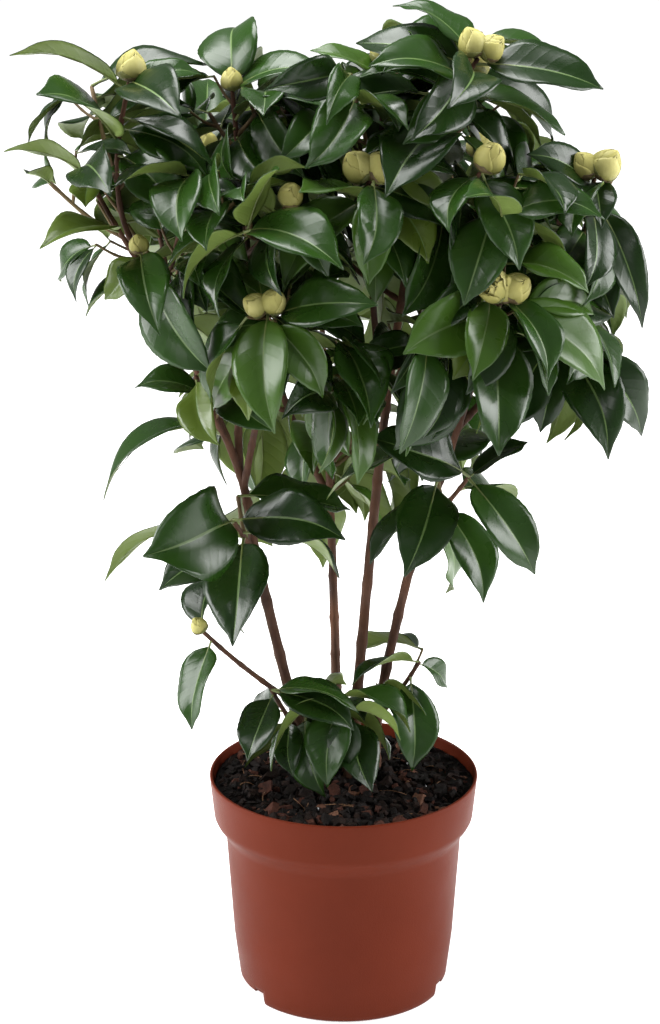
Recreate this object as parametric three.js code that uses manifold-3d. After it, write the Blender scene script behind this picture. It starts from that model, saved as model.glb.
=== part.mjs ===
// Camellia shrub in its plastic nursery pot.
// Millimetres, +Z up, the origin at the centre of the pot's flat underside,
// -Y is the front of the plant.
import * as THREE from "three";
import { mergeVertices } from "three/addons/utils/BufferGeometryUtils.js";
import Module from "manifold-3d";

const wasm = await Module();
wasm.setup();

// ---------------------------------------------------------------- sizes
const GAP = 0.3;               // between pieces that touch

// Pot: a 19 cm nursery pot.
const RIM_R = 95;              // outer radius at the top edge
const RIM_Z = 161;             // height of the top edge
const RIM_WALL = 2.2;          // wall thickness at the rim
const BAND_R = 92;             // rim band at its lower edge
const BAND_Z = 131;
const NECK_R = 83.5;           // wall right under the band's shoulder
const NECK_Z = 116;
const WALL_R = 78.2;           // body low down
const WALL_Z = 40;
const FOOT_R = 70.5;           // flat foot's outer radius
const FOOT_FLARE_R = 73.8;     // top of the foot's rounded edge
const FOOT_FLARE_Z = 5;
const FLOOR_Z = 12;            // inside floor
const FLOOR_STEP = 7;          // the floor's corner, in from the wall's outside
const BODY_WALL = 2.6;
const POT_SIDES = 40;
const NOTCH_R = 58;            // the foot is cut away outside this radius
const NOTCH_Z = 8.5;           // between its front and back arcs
const FOOT_MIDDLE = 6.5;       // direction of the front foot arc, degrees from -Y
const FOOT_ARC = 113;          // its width
const SLOT_WIDE = 9;           // drain slots next to the foot arcs' ends
const SLOT_Z = 10.5;
const SLOT_R = 64;

// Potting soil.
const SOIL_Z = 152;            // level at the stems
const SOIL_FLAT_R = 48;        // level part that carries the stems
const SOIL_HEAP = 4;           // height of the heaped edge
const SOIL_RINGS = [76, 62];   // its rings between the wall and the level part
const SOIL_SIDES = 24;

// Stems and boughs: [x, y, z] on the axis, thick at the foot and the tip.
const FLARE = 1.7;             // root flare at the soil, times the stem's radius
const FLARE_HIGH = 0.05;       // share of the stem that flares
const STEM_STEPS = 10;
const BOUGH_STEPS = 5;
const LIMB_SIDES = 6;
const LIMB_SAMPLES = 90;       // points along a limb that growth keeps clear of
const STEMS = {
  stem_left: { path: [[-12, 10], [-34, 2, 206], [-60, -5, 323], [-72, -10, 390],
    [-110, -18, 489], [-141, -22, 553]], radius: [4.4, 1.9] },
  stem_centre: { path: [[6, 12], [10, 14, 218], [22, 14, 361], [32, 8, 455],
    [44, 2, 541], [60, -5, 616]], radius: [4.2, 1.9] },
  stem_right: { path: [[22, 24], [26, 20, 208], [46, 5, 312], [64, -10, 377],
    [81, -25, 438], [97, -45, 500]], radius: [4.0, 1.9] },
  stem_back: { path: [[-4, 36], [-6, 60, 238], [-10, 85, 351], [-15, 105, 456]],
    radius: [4.0, 1.9] },
};
const BOUGHS = {
  bough_left_inner: { on: "stem_left", at: 0.6,
    path: [[-72, -2, 439], [-65, 10, 521], [-70, 10, 591]], radius: [2.8, 1.8] },
  bough_left_front: { on: "stem_left", at: 0.57,
    path: [[-58, -36, 440], [-41, -62, 504]], radius: [2.6, 1.8] },
  bough_centre: { on: "stem_centre", at: 0.57,
    path: [[22, -5, 483], [16, -30, 573]], radius: [2.8, 1.8] },
  bough_right: { on: "stem_right", at: 0.76,
    path: [[104, 5, 448], [134, 20, 490], [156, 18, 534]], radius: [2.6, 1.8] },
  bough_back_left: { on: "stem_back", at: 0.62,
    path: [[-42, 115, 401], [-74, 140, 491]], radius: [2.8, 1.8] },
  bough_back_right: { on: "stem_back", at: 0.7,
    path: [[37, 120, 414], [78, 140, 491]], radius: [2.8, 1.8] },
};

// Leaves.
const LEAF = 74;               // usual length
const WIDE = 0.27;             // half its width as a share of its length
const STALK = 0.1;             // share of the length that is leaf stalk
const MIDRIB = 0.016;          // thickness as a share of the length
const GOLDEN = 137.508;        // turn from one leaf to the next, degrees
const TURN_OUT = 38;           // how far blades turn to face outward, degrees
const FAR_FOLD = 14;           // fold along the midrib of a furthest leaf, degrees
const AIM_PASSES = 10;         // passes that bring a furthest leaf's tip to its place
const SECTIONS = [0.3, 0.66];  // where a leaf has its two cross-sections
const LEAF_GAP = 6;            // least distance between two blades' probe points
const WOOD_GAP = 2.8;          // from a blade to a limb or a twig
const TWIG_GAP = 4;            // from a twig to a limb or another twig
const SOIL_GAP = 8;            // from a blade to the soil
const RIM_ROOM = [12, 6];      // from a blade to the pot's rim: beside it, above it
const NEAR_WOOD = 60;          // wood further from a blade's middle can't touch it
const NEAR_BLADE = 95;         // nor can a blade whose middle is further away

// Twigs: three-sided, so they are a little larger than round ones.
const MAIN_TWIG = [2.3, 1.8];
const SIDE_TWIG = [1.8, 1.6];
const TWIG_CLEAR = [1.4, 1];   // radius that growth keeps clear round either kind

// Buds: [share of the length, radius as a share of it] up to the pointed tip.
const BUD_RINGS = [[-0.2, 0.09], [0.22, 0.36], [0.6, 0.4]];
const BUD_SIDES = 6;
const BUD_SPREAD = 0.9;        // how far the buds of a pair lean apart
const BUD_STALK = 3;

// The crown's space: [height, leftmost x, rightmost x].
const CROWN = [
  [156, -78, 66], [250, -100, 55], [300, -120, 85], [330, -135, 120], [400, -128, 150],
  [420, -128, 190], [475, -136, 200], [510, -150, 200], [560, -166, 195], [600, -188, 186],
  [640, -200, 158], [690, -200, 150], [705, -95, 120], [730, -5, 90],
];
const CROWN_Y = 25;            // middle of the crown from front to back
const CROWN_DEPTH = 0.86;      // its depth as a share of its width

// Masses of foliage. Each grows on a limb (at its tip, or at a share of its
// length) towards its own tip, with so many seeded leaves, side twigs and buds.
// far: its furthest leaves, as [share of the twig, leaf tip, roll, arch], and
// half their width as a share of their length where that isn't the usual one.
const MASSES = [
  { name: "top_left", on: "stem_left", tip: [-142, -25, 668], leaves: 9, sides: 1, buds: 1, seed: 1,
    far: [[0.95, [-216, -35, 691], 62, 60], [0.7, [-194, -84, 678], -25, 35, 0.3],
      [0.95, [-96, -5, 670], 30, 50, 0.24]] },
  { name: "far_left", on: "stem_left", at: 0.91, tip: [-172, -46, 614], leaves: 7, sides: 1, buds: 0,
    seed: 163, far: [[0.95, [-224, -50, 627], 64, 62], [0.9, [-169, -84, 600], 0, 35, 0.3],
      [0.5, [-196, -86, 576], -20, 50]] },
  { name: "left_side", on: "stem_left", at: 0.85, tip: [-135, -55, 560], leaves: 6, sides: 0, buds: 1,
    seed: 97, far: [[0.95, [-159, -62, 529], -40, 50, 0.34], [0.2, [-126, -60, 490], 10, 20]] },
  { name: "top_left_inner", on: "bough_left_inner", tip: [-75, 5, 655], leaves: 10, sides: 2, buds: 1,
    seed: 3, far: [[0.98, [-73, 62, 684], 0, 100, 0.32], [0.7, [-8, -45, 655], 30, 80],
      [0.98, [-12, -8, 668], 25, 70, 0.3]] },
  { name: "front_left", on: "bough_left_front", tip: [-50, -78, 525], leaves: 9, sides: 1, buds: 2,
    seed: 4, far: [[0.75, [-66, -108, 464], 0, 25, 0.34], [0.95, [-8, -80, 475], 25, 30]] },
  { name: "centre", on: "bough_centre", tip: [16, -50, 608], leaves: 11, sides: 2, buds: 2, seed: 5,
    far: [[0.5, [-29, -90, 611], -25, 30]] },
  { name: "top_right", on: "stem_centre", tip: [88, -20, 682], leaves: 13, sides: 3, buds: 3, seed: 188,
    far: [[0.95, [171, -25, 663], 28, 30], [0.6, [146, -30, 633], 10, 60],
      [0.8, [20, -60, 690], -40, 45], [0.98, [36, 14, 713], 10, 45], [0.3, [29, -90, 611], -30, 60],
      [0.9, [8, 10, 686], -35, 50]] },
  { name: "front_right", on: "stem_right", tip: [105, -75, 535], leaves: 8, sides: 1, buds: 3, seed: 168,
    far: [[0.6, [39, -110, 507], -45, 25], [0.9, [176, -72, 474], 38, 30],
      [0.3, [102, -112, 440], 0, 22]] },
  { name: "right_top", on: "bough_right", tip: [168, 0, 595], leaves: 9, sides: 2, buds: 2, seed: 8,
    far: [[0.75, [203, -25, 503], 5, 60, 0.15], [0.3, [182, -22, 506], 15, 25, 0.26],
      [0.9, [150, -60, 575], 0, 50], [0.9, [124, -20, 618], -55, 45],
      [0.98, [172, -30, 573], 0, 60, 0.34]] },
  { name: "right_mid", on: "bough_right", at: 0.6, tip: [163, -10, 480], leaves: 8, sides: 1, buds: 0,
    seed: 9, far: [[0.98, [206, -10, 419], 30, 50, 0.24], [0.6, [179, -50, 418], 10, 40, 0.24]] },
  { name: "left_mid", on: "stem_left", at: 0.64, tip: [-100, -45, 470], leaves: 3, sides: 1, buds: 0,
    seed: 10, far: [[0.8, [-139, -40, 463], -25, 50, 0.33], [0.25, [-162, -40, 385], 12, 100, 0.2]] },
  { name: "low_left", on: "stem_left", at: 0.42, tip: [-76, -36, 364], leaves: 5, sides: 1, buds: 0,
    seed: 11, far: [[0.95, [-131, -95, 362], -50, 60, 0.38], [0.7, [-164, -8, 318], 15, 60, 0.18],
      [0.5, [-76, -98, 300], 5, 25], [0.3, [-127, -40, 315], -20, 25]] },
  { name: "low_twig", on: "stem_left", at: 0.22, tip: [-98, -25, 278], leaves: 1, sides: 0, buds: 1,
    seed: 173, far: [[0.9, [-107, -55, 220], 0, 28, 0.3]] },
  { name: "right_low", on: "stem_right", at: 0.5, tip: [85, -35, 395], leaves: 7, sides: 1, buds: 0,
    seed: 13, far: [[0.98, [129, -60, 336], 30, 70, 0.24], [0.45, [95, -60, 315], 10, 60, 0.24],
      [0.98, [125, -18, 415], 30, 30]] },
  { name: "foot_left", on: "stem_left", at: 0.13, tip: [-50, -35, 238], leaves: 3, sides: 0, buds: 0,
    seed: 68, far: [[0.95, [-68, -66, 201], 0, 18, 0.32], [0.5, [-36, -48, 180], 15, 18]] },
  { name: "foot_front", on: "stem_centre", at: 0.13, tip: [-6, -30, 232], leaves: 4, sides: 0, buds: 0,
    seed: 133, far: [[0.95, [-12, -62, 178], 0, 18], [0.5, [20, -58, 172], 0, 18]] },
  { name: "foot_right", on: "stem_right", at: 0.16, tip: [53, -5, 247], leaves: 4, sides: 0, buds: 0,
    seed: 130, far: [[0.8, [48, -34, 178], 0, 18], [0.98, [74, 14, 220], 25, 40]] },
  { name: "top_centre", on: "bough_centre", at: 0.7, tip: [27, 20, 668], leaves: 10, sides: 2, buds: 1,
    seed: 17, far: [[0.95, [-21, 15, 681], -30, 40]] },
  { name: "top_middle", on: "bough_left_inner", at: 0.9, tip: [-36, 40, 640], leaves: 9, sides: 2, buds: 0,
    seed: 37 },
  { name: "inner_left", on: "bough_left_inner", at: 0.75, tip: [-37, -60, 595], leaves: 9, sides: 1,
    buds: 1, seed: 18 },
  { name: "left_inner", on: "stem_left", at: 0.88, tip: [-100, -50, 610], leaves: 9, sides: 1, buds: 0,
    seed: 28 },
  { name: "right_inner", on: "stem_centre", at: 0.85, tip: [92, -60, 618], leaves: 10, sides: 1, buds: 1,
    seed: 19, far: [[0.9, [67, -100, 588], 20, 60], [0.95, [114, -92, 560], 25, 20]] },
  { name: "centre_low", on: "bough_centre", at: 0.2, tip: [-5, -60, 500], leaves: 8, sides: 1, buds: 0,
    seed: 20 },
  { name: "centre_right", on: "stem_centre", at: 0.62, tip: [54, -60, 520], leaves: 8, sides: 1, buds: 0,
    seed: 21 },
  { name: "middle", on: "stem_centre", at: 0.72, tip: [-20, 40, 545], leaves: 9, sides: 2, buds: 0,
    seed: 33 },
  { name: "right_back", on: "bough_right", at: 0.8, tip: [150, 70, 562], leaves: 9, sides: 2, buds: 0,
    seed: 29 },
  { name: "top_back", on: "stem_centre", at: 0.93, tip: [70, 60, 655], leaves: 9, sides: 2, buds: 1,
    seed: 34 },
  { name: "left_back", on: "stem_left", at: 0.8, tip: [-130, 50, 560], leaves: 8, sides: 2, buds: 0,
    seed: 35 },
  { name: "back_top", on: "stem_back", tip: [5, 110, 600], leaves: 10, sides: 3, buds: 2, seed: 42 },
  { name: "back_left", on: "bough_back_left", tip: [-97, 120, 580], leaves: 9, sides: 3, buds: 1,
    seed: 23 },
  { name: "back_right", on: "bough_back_right", tip: [96, 125, 578], leaves: 10, sides: 3, buds: 1,
    seed: 24 },
  { name: "back_low_left", on: "bough_back_left", at: 0.45, tip: [-86, 150, 400], leaves: 8, sides: 2,
    buds: 0, seed: 109 },
  { name: "back_low_right", on: "bough_back_right", at: 0.45, tip: [80, 150, 400], leaves: 8, sides: 2,
    buds: 0, seed: 123 },
  { name: "back_mid", on: "stem_back", at: 0.6, tip: [-6, 140, 375], leaves: 8, sides: 2, buds: 0,
    seed: 27 },
];

// ---------------------------------------------------------------- small maths
const radians = (degrees) => degrees * Math.PI / 180;
const degrees = (angle) => angle * 180 / Math.PI;
const add = (a, b, k = 1) => [a[0] + b[0] * k, a[1] + b[1] * k, a[2] + b[2] * k];
const dot = (a, b) => a[0] * b[0] + a[1] * b[1] + a[2] * b[2];
const cross = (a, b) => [a[1] * b[2] - a[2] * b[1], a[2] * b[0] - a[0] * b[2],
  a[0] * b[1] - a[1] * b[0]];
const mix = (a, p, b, q) => [a[0] * p + b[0] * q, a[1] * p + b[1] * q, a[2] * p + b[2] * q];
const size = (a) => Math.sqrt(dot(a, a));
const unit = (a) => mix(a, 1 / size(a), a, 0);
const apart = (a, b) => size(mix(a, 1, b, -1));
const clamp = (value, low, high) => Math.max(low, Math.min(high, value));
const across = (way) => {
  const first = unit(cross(way, Math.abs(way[2]) < 0.9 ? [0, 0, 1] : [1, 0, 0]));
  return [first, cross(way, first)];
};

// Seeded dice: the same rolls for the same seed.
function dice(seed) {
  let state = seed * 7919 + 17;
  return (low, high) => {
    state = state * 16807 % 2147483647;
    return low + (high - low) * state / 2147483647;
  };
}

// A point at share t of a smooth curve through the path's points.
function onPath(path, t) {
  const last = path.length - 1;
  const i = Math.min(Math.floor(t * last), last - 1);
  const f = t * last - i;
  const b = path[i];
  const c = path[i + 1];
  const a = i > 0 ? path[i - 1] : mix(b, 2, c, -1);
  const d = i + 2 <= last ? path[i + 2] : mix(c, 2, b, -1);
  return [0, 1, 2].map((k) => 0.5 * (2 * b[k] + (c[k] - a[k]) * f
    + (2 * a[k] - 5 * b[k] + 4 * c[k] - d[k]) * f * f
    + (3 * b[k] - a[k] - 3 * c[k] + d[k]) * f * f * f));
}

function wayOf(path, t) {
  return unit(mix(onPath(path, Math.min(1, t + 0.01)), 1, onPath(path, Math.max(0, t - 0.01)), -1));
}

// ---------------------------------------------------------------- closed bodies
function solidOf(points, triangles) {
  return new wasm.Manifold(new wasm.Mesh({
    numProp: 3, vertProperties: new Float32Array(points.flat()), triVerts: new Uint32Array(triangles.flat()),
  }));
}

function solidOfGeometry(geometry) {
  geometry.deleteAttribute("normal");
  geometry.deleteAttribute("uv");
  const merged = mergeVertices(geometry, 1e-4);
  return new wasm.Manifold(new wasm.Mesh({
    numProp: 3, vertProperties: new Float32Array(merged.attributes.position.array),
    triVerts: new Uint32Array(merged.index.array),
  }));
}

function geometryOf(solid) {
  const mesh = solid.getMesh();
  const geometry = new THREE.BufferGeometry();
  geometry.setAttribute("position", new THREE.BufferAttribute(new Float32Array(mesh.vertProperties), 3));
  geometry.setIndex(new THREE.BufferAttribute(new Uint32Array(mesh.triVerts), 1));
  geometry.computeVertexNormals();
  return geometry;
}

// The largest body of a solid: loose scraps go, and a sealed hollow is filled.
function largestOf(solid) {
  const bodies = solid.decompose();
  return bodies.reduce((best, body) => (body.volume() > best.volume() ? body : best));
}

// Rings of points, each with the same count, closed by a fan or a point at both ends.
function ringsSolid(rings) {
  const points = [];
  const triangles = [];
  const starts = rings.map((ring) => {
    points.push(...ring);
    return points.length - ring.length;
  });
  for (let i = 0; i + 1 < rings.length; i += 1) {
    const m = rings[i].length;
    const n = rings[i + 1].length;
    for (let j = 0; j < Math.max(m, n); j += 1) {
      const a = starts[i] + j % m;
      const b = starts[i] + (j + 1) % m;
      const c = starts[i + 1] + (j + 1) % n;
      const d = starts[i + 1] + j % n;
      if (m > 1) triangles.push([a, b, c]);
      if (n > 1) triangles.push([a, c, d]);
    }
  }
  for (let j = 1; j + 1 < rings[0].length; j += 1) {
    triangles.push([starts[0], starts[0] + j + 1, starts[0] + j]);
  }
  const end = starts[rings.length - 1];
  for (let j = 1; j + 1 < rings[rings.length - 1].length; j += 1) {
    triangles.push([end, end + j, end + j + 1]);
  }
  return solidOf(points, triangles);
}

// A tapering branch along a path.
function branchSolid(path, radiusAt, steps, sides) {
  const rings = [];
  let [right] = across(wayOf(path, 0));
  for (let i = 0; i <= steps; i += 1) {
    const t = i / steps;
    const way = wayOf(path, t);
    right = unit(add(right, way, -dot(right, way)));
    const up = cross(way, right);
    rings.push(Array.from({ length: sides }, (_, j) => {
      const turn = 2 * Math.PI * j / sides;
      return add(onPath(path, t), mix(right, Math.cos(turn), up, Math.sin(turn)), radiusAt(t));
    }));
  }
  return ringsSolid(rings);
}

// ---------------------------------------------------------------- limbs
function limbs() {
  const all = {};
  for (const [name, stem] of Object.entries(STEMS)) {
    const [foot, ...rest] = stem.path;
    all[name] = { path: [[...foot, SOIL_Z + GAP], ...rest], radius: stem.radius, flare: FLARE };
  }
  for (const [name, bough] of Object.entries(BOUGHS)) {
    const foot = onPath(all[bough.on].path, bough.at);
    all[name] = { path: [foot, ...bough.path], radius: bough.radius, flare: 1, on: bough.on };
  }
  return all;
}

function limbRadius(limb, t) {
  const [foot, tip] = limb.radius;
  const flare = (limb.flare - 1) * Math.max(0, 1 - t / FLARE_HIGH) ** 2;
  return foot + (tip - foot) * t + foot * flare;
}

// The limb, or, with extra, the room it needs: thicker by that much all over and
// longer at its tip.
function limbSolid(limb, extra = 0) {
  const steps = limb.flare > 1 ? STEM_STEPS : BOUGH_STEPS;
  const bare = branchSolid(limb.path, (t) => limbRadius(limb, t) + extra, steps, LIMB_SIDES);
  if (extra > 0) {
    const tip = onPath(limb.path, 1);
    const way = wayOf(limb.path, 1);
    const cap = [add(tip, way, -1), add(tip, way, extra)];
    return bare.add(branchSolid(cap, () => limbRadius(limb, 1) + 3 * extra, 1, LIMB_SIDES));
  }
  if (limb.flare === 1) return bare;
  const ground = solidOfGeometry(new THREE.BoxGeometry(60, 60, 40)
    .translate(limb.path[0][0], limb.path[0][1], SOIL_Z + GAP - 20));
  return bare.subtract(ground);
}

// ---------------------------------------------------------------- leaves
function leafFrame(leaf) {
  const azimuth = radians(leaf.azimuth);
  const tilt = radians(leaf.tilt);
  const roll = radians(leaf.roll);
  const forward = [Math.cos(azimuth) * Math.cos(tilt), Math.sin(azimuth) * Math.cos(tilt), Math.sin(tilt)];
  const level = [-Math.sin(azimuth), Math.cos(azimuth), 0];
  const side = mix(level, Math.cos(roll), cross(forward, level), Math.sin(roll));
  return { forward, side, face: cross(forward, side) };
}

// Half the blade's width, as a share of its widest, at share u of the whole leaf.
function blade(u) {
  const t = (u - STALK) / (1 - STALK);
  return t <= 0 || t >= 1 ? 0 : 3.304 * t ** 0.75 * (1 - t);
}

// The leaf's surface: u from its root to its tip, v from -1 to 1 across it.
function leafPoint(leaf, frame, u, v) {
  const arch = radians(leaf.arch);
  const fold = radians(leaf.fold);
  const run = leaf.length * Math.sin(arch * u) / arch;
  const drop = leaf.length * (1 - Math.cos(arch * u)) / arch;
  const up = mix(frame.face, Math.cos(arch * u), frame.forward, Math.sin(arch * u));
  const half = leaf.width * blade(u);
  const onMidrib = add(add(leaf.root, frame.forward, run), frame.face, -drop);
  const sideways = add(onMidrib, frame.side, v * half * Math.cos(fold));
  return add(sideways, up, Math.abs(v) * half * Math.sin(fold));
}

// A leaf whose tip comes to a given place. An arched leaf that is rolled droops
// to one side as well, so each pass moves the mark by what the last one missed.
function aimedLeaf(root, tip, roll, arch, wide) {
  const bend = radians(arch);
  let mark = tip;
  let leaf = null;
  for (let pass = 0; pass < AIM_PASSES; pass += 1) {
    const chord = mix(mark, 1, root, -1);
    const length = size(chord) * bend / (2 * Math.sin(bend / 2));
    leaf = {
      root, roll, arch, length,
      azimuth: degrees(Math.atan2(chord[1], chord[0])),
      tilt: degrees(Math.asin(chord[2] / size(chord))) + arch / 2,
      width: wide * length,
      fold: FAR_FOLD,
    };
    mark = add(mark, mix(tip, 1, leafPoint(leaf, leafFrame(leaf), 1, 0), -1));
  }
  return leaf;
}

const PROBE_U = [0.16, 0.24, 0.32, 0.4, 0.48, 0.56, 0.64, 0.72, 0.8, 0.88, 0.94];
const PROBE_V = [-0.97, -0.65, -0.33, 0, 0.33, 0.65, 0.97];
const MIDDLE = 38;             // the probe at the blade's middle

function leafProbes(leaf) {
  const frame = leafFrame(leaf);
  const probes = PROBE_U.flatMap((u) => PROBE_V.map((v) => leafPoint(leaf, frame, u, v)));
  probes.push(leafPoint(leaf, frame, 1, 0));
  return probes;
}

function leafSolid(leaf) {
  const frame = leafFrame(leaf);
  const half = leaf.length * MIDRIB / 2;
  const section = (u) => {
    const middle = leafPoint(leaf, frame, u, 0);
    return [add(middle, frame.face, -half), leafPoint(leaf, frame, u, 1),
      add(middle, frame.face, half), leafPoint(leaf, frame, u, -1)];
  };
  const stalk = [add(leaf.root, frame.face, -0.3), add(leaf.root, frame.side, 0.4),
    add(leaf.root, frame.face, 0.3), add(leaf.root, frame.side, -0.4)];
  return ringsSolid([stalk, ...SECTIONS.map(section), [leafPoint(leaf, frame, 1, 0)]]);
}

function budSolid(bud) {
  const [right, up] = across(bud.way);
  const rings = BUD_RINGS.map(([t, r]) =>
    Array.from({ length: BUD_SIDES }, (_, j) => {
      const turn = 2 * Math.PI * j / BUD_SIDES;
      const out = mix(right, Math.cos(turn), up, Math.sin(turn));
      return add(add(bud.root, bud.way, bud.length * t), out, bud.length * r);
    }));
  return ringsSolid([...rings, [add(bud.root, bud.way, bud.length)]]);
}

// ---------------------------------------------------------------- growth
// What has grown so far, and whether something new keeps clear of it.
class Garden {
  constructor(allLimbs) {
    this.limbs = allLimbs;
    this.wood = [];
    this.blades = [];
    for (const limb of Object.values(allLimbs)) {
      this.addWood(limb.path, (t) => limbRadius(limb, t), LIMB_SAMPLES);
    }
  }

  addWood(path, radiusAt, count) {
    for (let i = 0; i <= count; i += 1) {
      this.wood.push({ at: onPath(path, i / count), r: radiusAt(i / count) });
    }
  }

  twigIsClear(points) {
    const touches = (p) => this.wood.some((wood) => apart(p, wood.at) < wood.r + TWIG_GAP)
      || this.blades.some((other) => other.probes.some((q) => apart(p, q) < TWIG_CLEAR[1] + TWIG_GAP));
    return !points.some(touches);
  }

  // A furthest leaf may share its foot with others of its own mass.
  leafIsClear(probes, mass, inside) {
    const middle = probes[MIDDLE];
    for (const [x, y, z] of probes) {
      const fromAxis = Math.sqrt(x * x + y * y);
      if (z < SOIL_Z + SOIL_GAP) return false;
      if (Math.abs(fromAxis - RIM_R) < RIM_ROOM[0] && z < RIM_Z + RIM_ROOM[1]) return false;
      if (inside && !inCrown([x, y, z])) return false;
    }
    const nearWood = this.wood.filter((wood) => apart(middle, wood.at) < NEAR_WOOD);
    if (probes.some((p) => nearWood.some((wood) => apart(p, wood.at) < wood.r + WOOD_GAP))) return false;
    const near = this.blades.filter((other) => (inside || other.mass !== mass)
      && apart(middle, other.probes[MIDDLE]) < NEAR_BLADE);
    return !near.some((other) => probes.some((p) => other.probes.some((q) => apart(p, q) < LEAF_GAP)));
  }
}

function inCrown([x, y, z]) {
  const next = CROWN.findIndex((row) => row[0] > z);
  if (next < 1) return false;
  const [low, high] = [CROWN[next - 1], CROWN[next]];
  const f = (z - low[0]) / (high[0] - low[0]);
  const left = low[1] + (high[1] - low[1]) * f;
  const right = low[2] + (high[2] - low[2]) * f;
  const half = (right - left) / 2;
  const sideways = (x - (left + right) / 2) / half;
  const inward = (y - CROWN_Y) / (half * CROWN_DEPTH + 25);
  return sideways ** 4 + inward ** 4 < 1;
}

// The mass's main twig bends from its limb to the mass's tip.
function growMainTwig(garden, plan) {
  const limb = garden.limbs[plan.on];
  const at = plan.at ?? 1;
  const root = onPath(limb.path, at);
  const span = apart(root, plan.tip);
  const bend = at === 1 ? add(root, wayOf(limb.path, at), span * 0.4)
    : add(mix(root, 0.5, plan.tip, 0.5), [0, 0, -1], span * 0.06);
  const curve = (t) => add(mix(root, (1 - t) ** 2, bend, 2 * t * (1 - t)), plan.tip, t * t);
  const main = [0, 0.25, 0.5, 0.75, 1].map(curve);
  garden.addWood(main, () => TWIG_CLEAR[0], 20);
  const twigs = [{ path: main, radius: MAIN_TWIG }];
  return { plan, roll: dice(plan.seed), span, twigs, leaves: [], buds: [] };
}

// Side twigs leave the main twig by the golden turn, where they are clear of
// everything else. Buds end the twigs: a pair on the main one where there are
// several, then one on each side twig.
function growSideTwigs(garden, mass) {
  const { plan, roll, span, twigs } = mass;
  const main = twigs[0].path;
  const turn = roll(0, 360);
  for (let i = 0; i < plan.sides; i += 1) {
    const s = 0.2 + 0.5 * (i + 1) / (plan.sides + 1);
    const foot = onPath(main, s);
    const way = wayOf(main, s);
    const [first, second] = across(way);
    for (let attempt = 0; attempt < 8; attempt += 1) {
      const angle = radians(turn + GOLDEN * i + 45 * attempt);
      const out = mix(first, Math.cos(angle), second, Math.sin(angle));
      const lead = unit(add(mix(way, 0.62, out, 0.78), [0, 0, 1], 0.25));
      const long = span * roll(0.42, 0.6);
      const path = [foot, add(foot, lead, long * 0.5), add(add(foot, lead, long), [0, 0, 1], long * 0.12)];
      const points = [0.3, 0.4, 0.5, 0.6, 0.7, 0.8, 0.9, 1].map((t) => onPath(path, t));
      if (!garden.twigIsClear(points)) continue;
      twigs.push({ path, radius: SIDE_TWIG });
      garden.addWood(path, () => TWIG_CLEAR[1], 10);
      break;
    }
  }
  for (let i = 0; i < plan.buds; i += 1) {
    const { path } = twigs[Math.max(0, i - 1) % twigs.length];
    const beside = plan.buds > 1 && i < 2 ? BUD_SPREAD * (2 * i - 1) : 0;
    const way = unit(add(wayOf(path, 1), [beside, 0, 0.4]));
    const root = add(onPath(path, 1), way, Math.abs(beside) * BUD_STALK);
    const bud = { root, way, length: roll(20, 24) };
    mass.buds.push(bud);
    garden.wood.push({ at: add(bud.root, way, bud.length * 0.45), r: bud.length * 0.36 });
  }
}

function keepLeaf(garden, mass, leaf, inside) {
  const probes = leafProbes(leaf);
  if (!garden.leafIsClear(probes, mass, inside)) return false;
  garden.blades.push({ mass, probes });
  mass.leaves.push(leaf);
  return true;
}

function growFarLeaves(garden, mass) {
  for (const [s, tip, roll, arch, wide = WIDE] of mass.plan.far ?? []) {
    keepLeaf(garden, mass, aimedLeaf(onPath(mass.twigs[0].path, s), tip, roll, arch, wide), false);
  }
}

// Leaves set round each twig by the golden turn, closest at its tip. One that
// would leave the crown or the mass, or touch anything, is tried further round
// and then skipped.
function growLeaves(garden, mass) {
  const { plan, roll, span, twigs } = mass;
  const droop = 12 + 30 * clamp((600 - plan.tip[2]) / 300, 0, 1);
  const middle = onPath(twigs[0].path, 0.7);
  const reach = span * 0.5 + 75;
  const lean = unit([twigs[0].path[0][0], twigs[0].path[0][1], 0]);
  const onSides = Math.round(plan.leaves * 0.5 / Math.max(1, twigs.length - 1));
  twigs.forEach((twig, order) => {
    const count = order === 0 ? Math.round(plan.leaves * 0.5) : Math.max(1, onSides);
    const start = roll(0, 360);
    for (let j = 0; j < count; j += 1) {
      const s = order === 0 ? 1 - 0.8 * (j / Math.max(count - 1, 1)) ** 1.1 : 1 - 0.55 * (j / count);
      const way = wayOf(twig.path, Math.min(s, 0.99));
      const [first, second] = across(way);
      for (let attempt = 0; attempt < 16; attempt += 1) {
        const turn = radians(start + GOLDEN * j + 22.5 * attempt);
        const open = radians(50 + 35 * (1 - s) + roll(-8, 12));
        const out = mix(first, Math.cos(turn), second, Math.sin(turn));
        const lead = mix(way, Math.cos(open), out, Math.sin(open));
        const azimuth = Math.atan2(lead[1], lead[0]);
        const rise = degrees(Math.asin(clamp(lead[2], -1, 1))) - droop * roll(0.6, 1.5);
        const outward = -TURN_OUT * dot(lean, [-Math.sin(azimuth), Math.cos(azimuth), 0]);
        const leaf = {
          root: onPath(twig.path, s), azimuth: degrees(azimuth), tilt: Math.max(-72, rise),
          length: LEAF * roll(0.82, 1.16), roll: outward + roll(-18, 18),
          arch: roll(28, 72), fold: roll(10, 30),
        };
        leaf.width = WIDE * roll(0.9, 1.1) * leaf.length;
        const tip = leafPoint(leaf, leafFrame(leaf), 1, 0);
        if (apart(tip, middle) < reach && keepLeaf(garden, mass, leaf, true)) break;
      }
    }
  });
}

function growCrown(allLimbs) {
  const garden = new Garden(allLimbs);
  const masses = MASSES.map((plan) => growMainTwig(garden, plan));
  masses.forEach((mass) => growFarLeaves(garden, mass));
  masses.forEach((mass) => growSideTwigs(garden, mass));
  masses.forEach((mass) => growLeaves(garden, mass));
  return masses;
}

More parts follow.
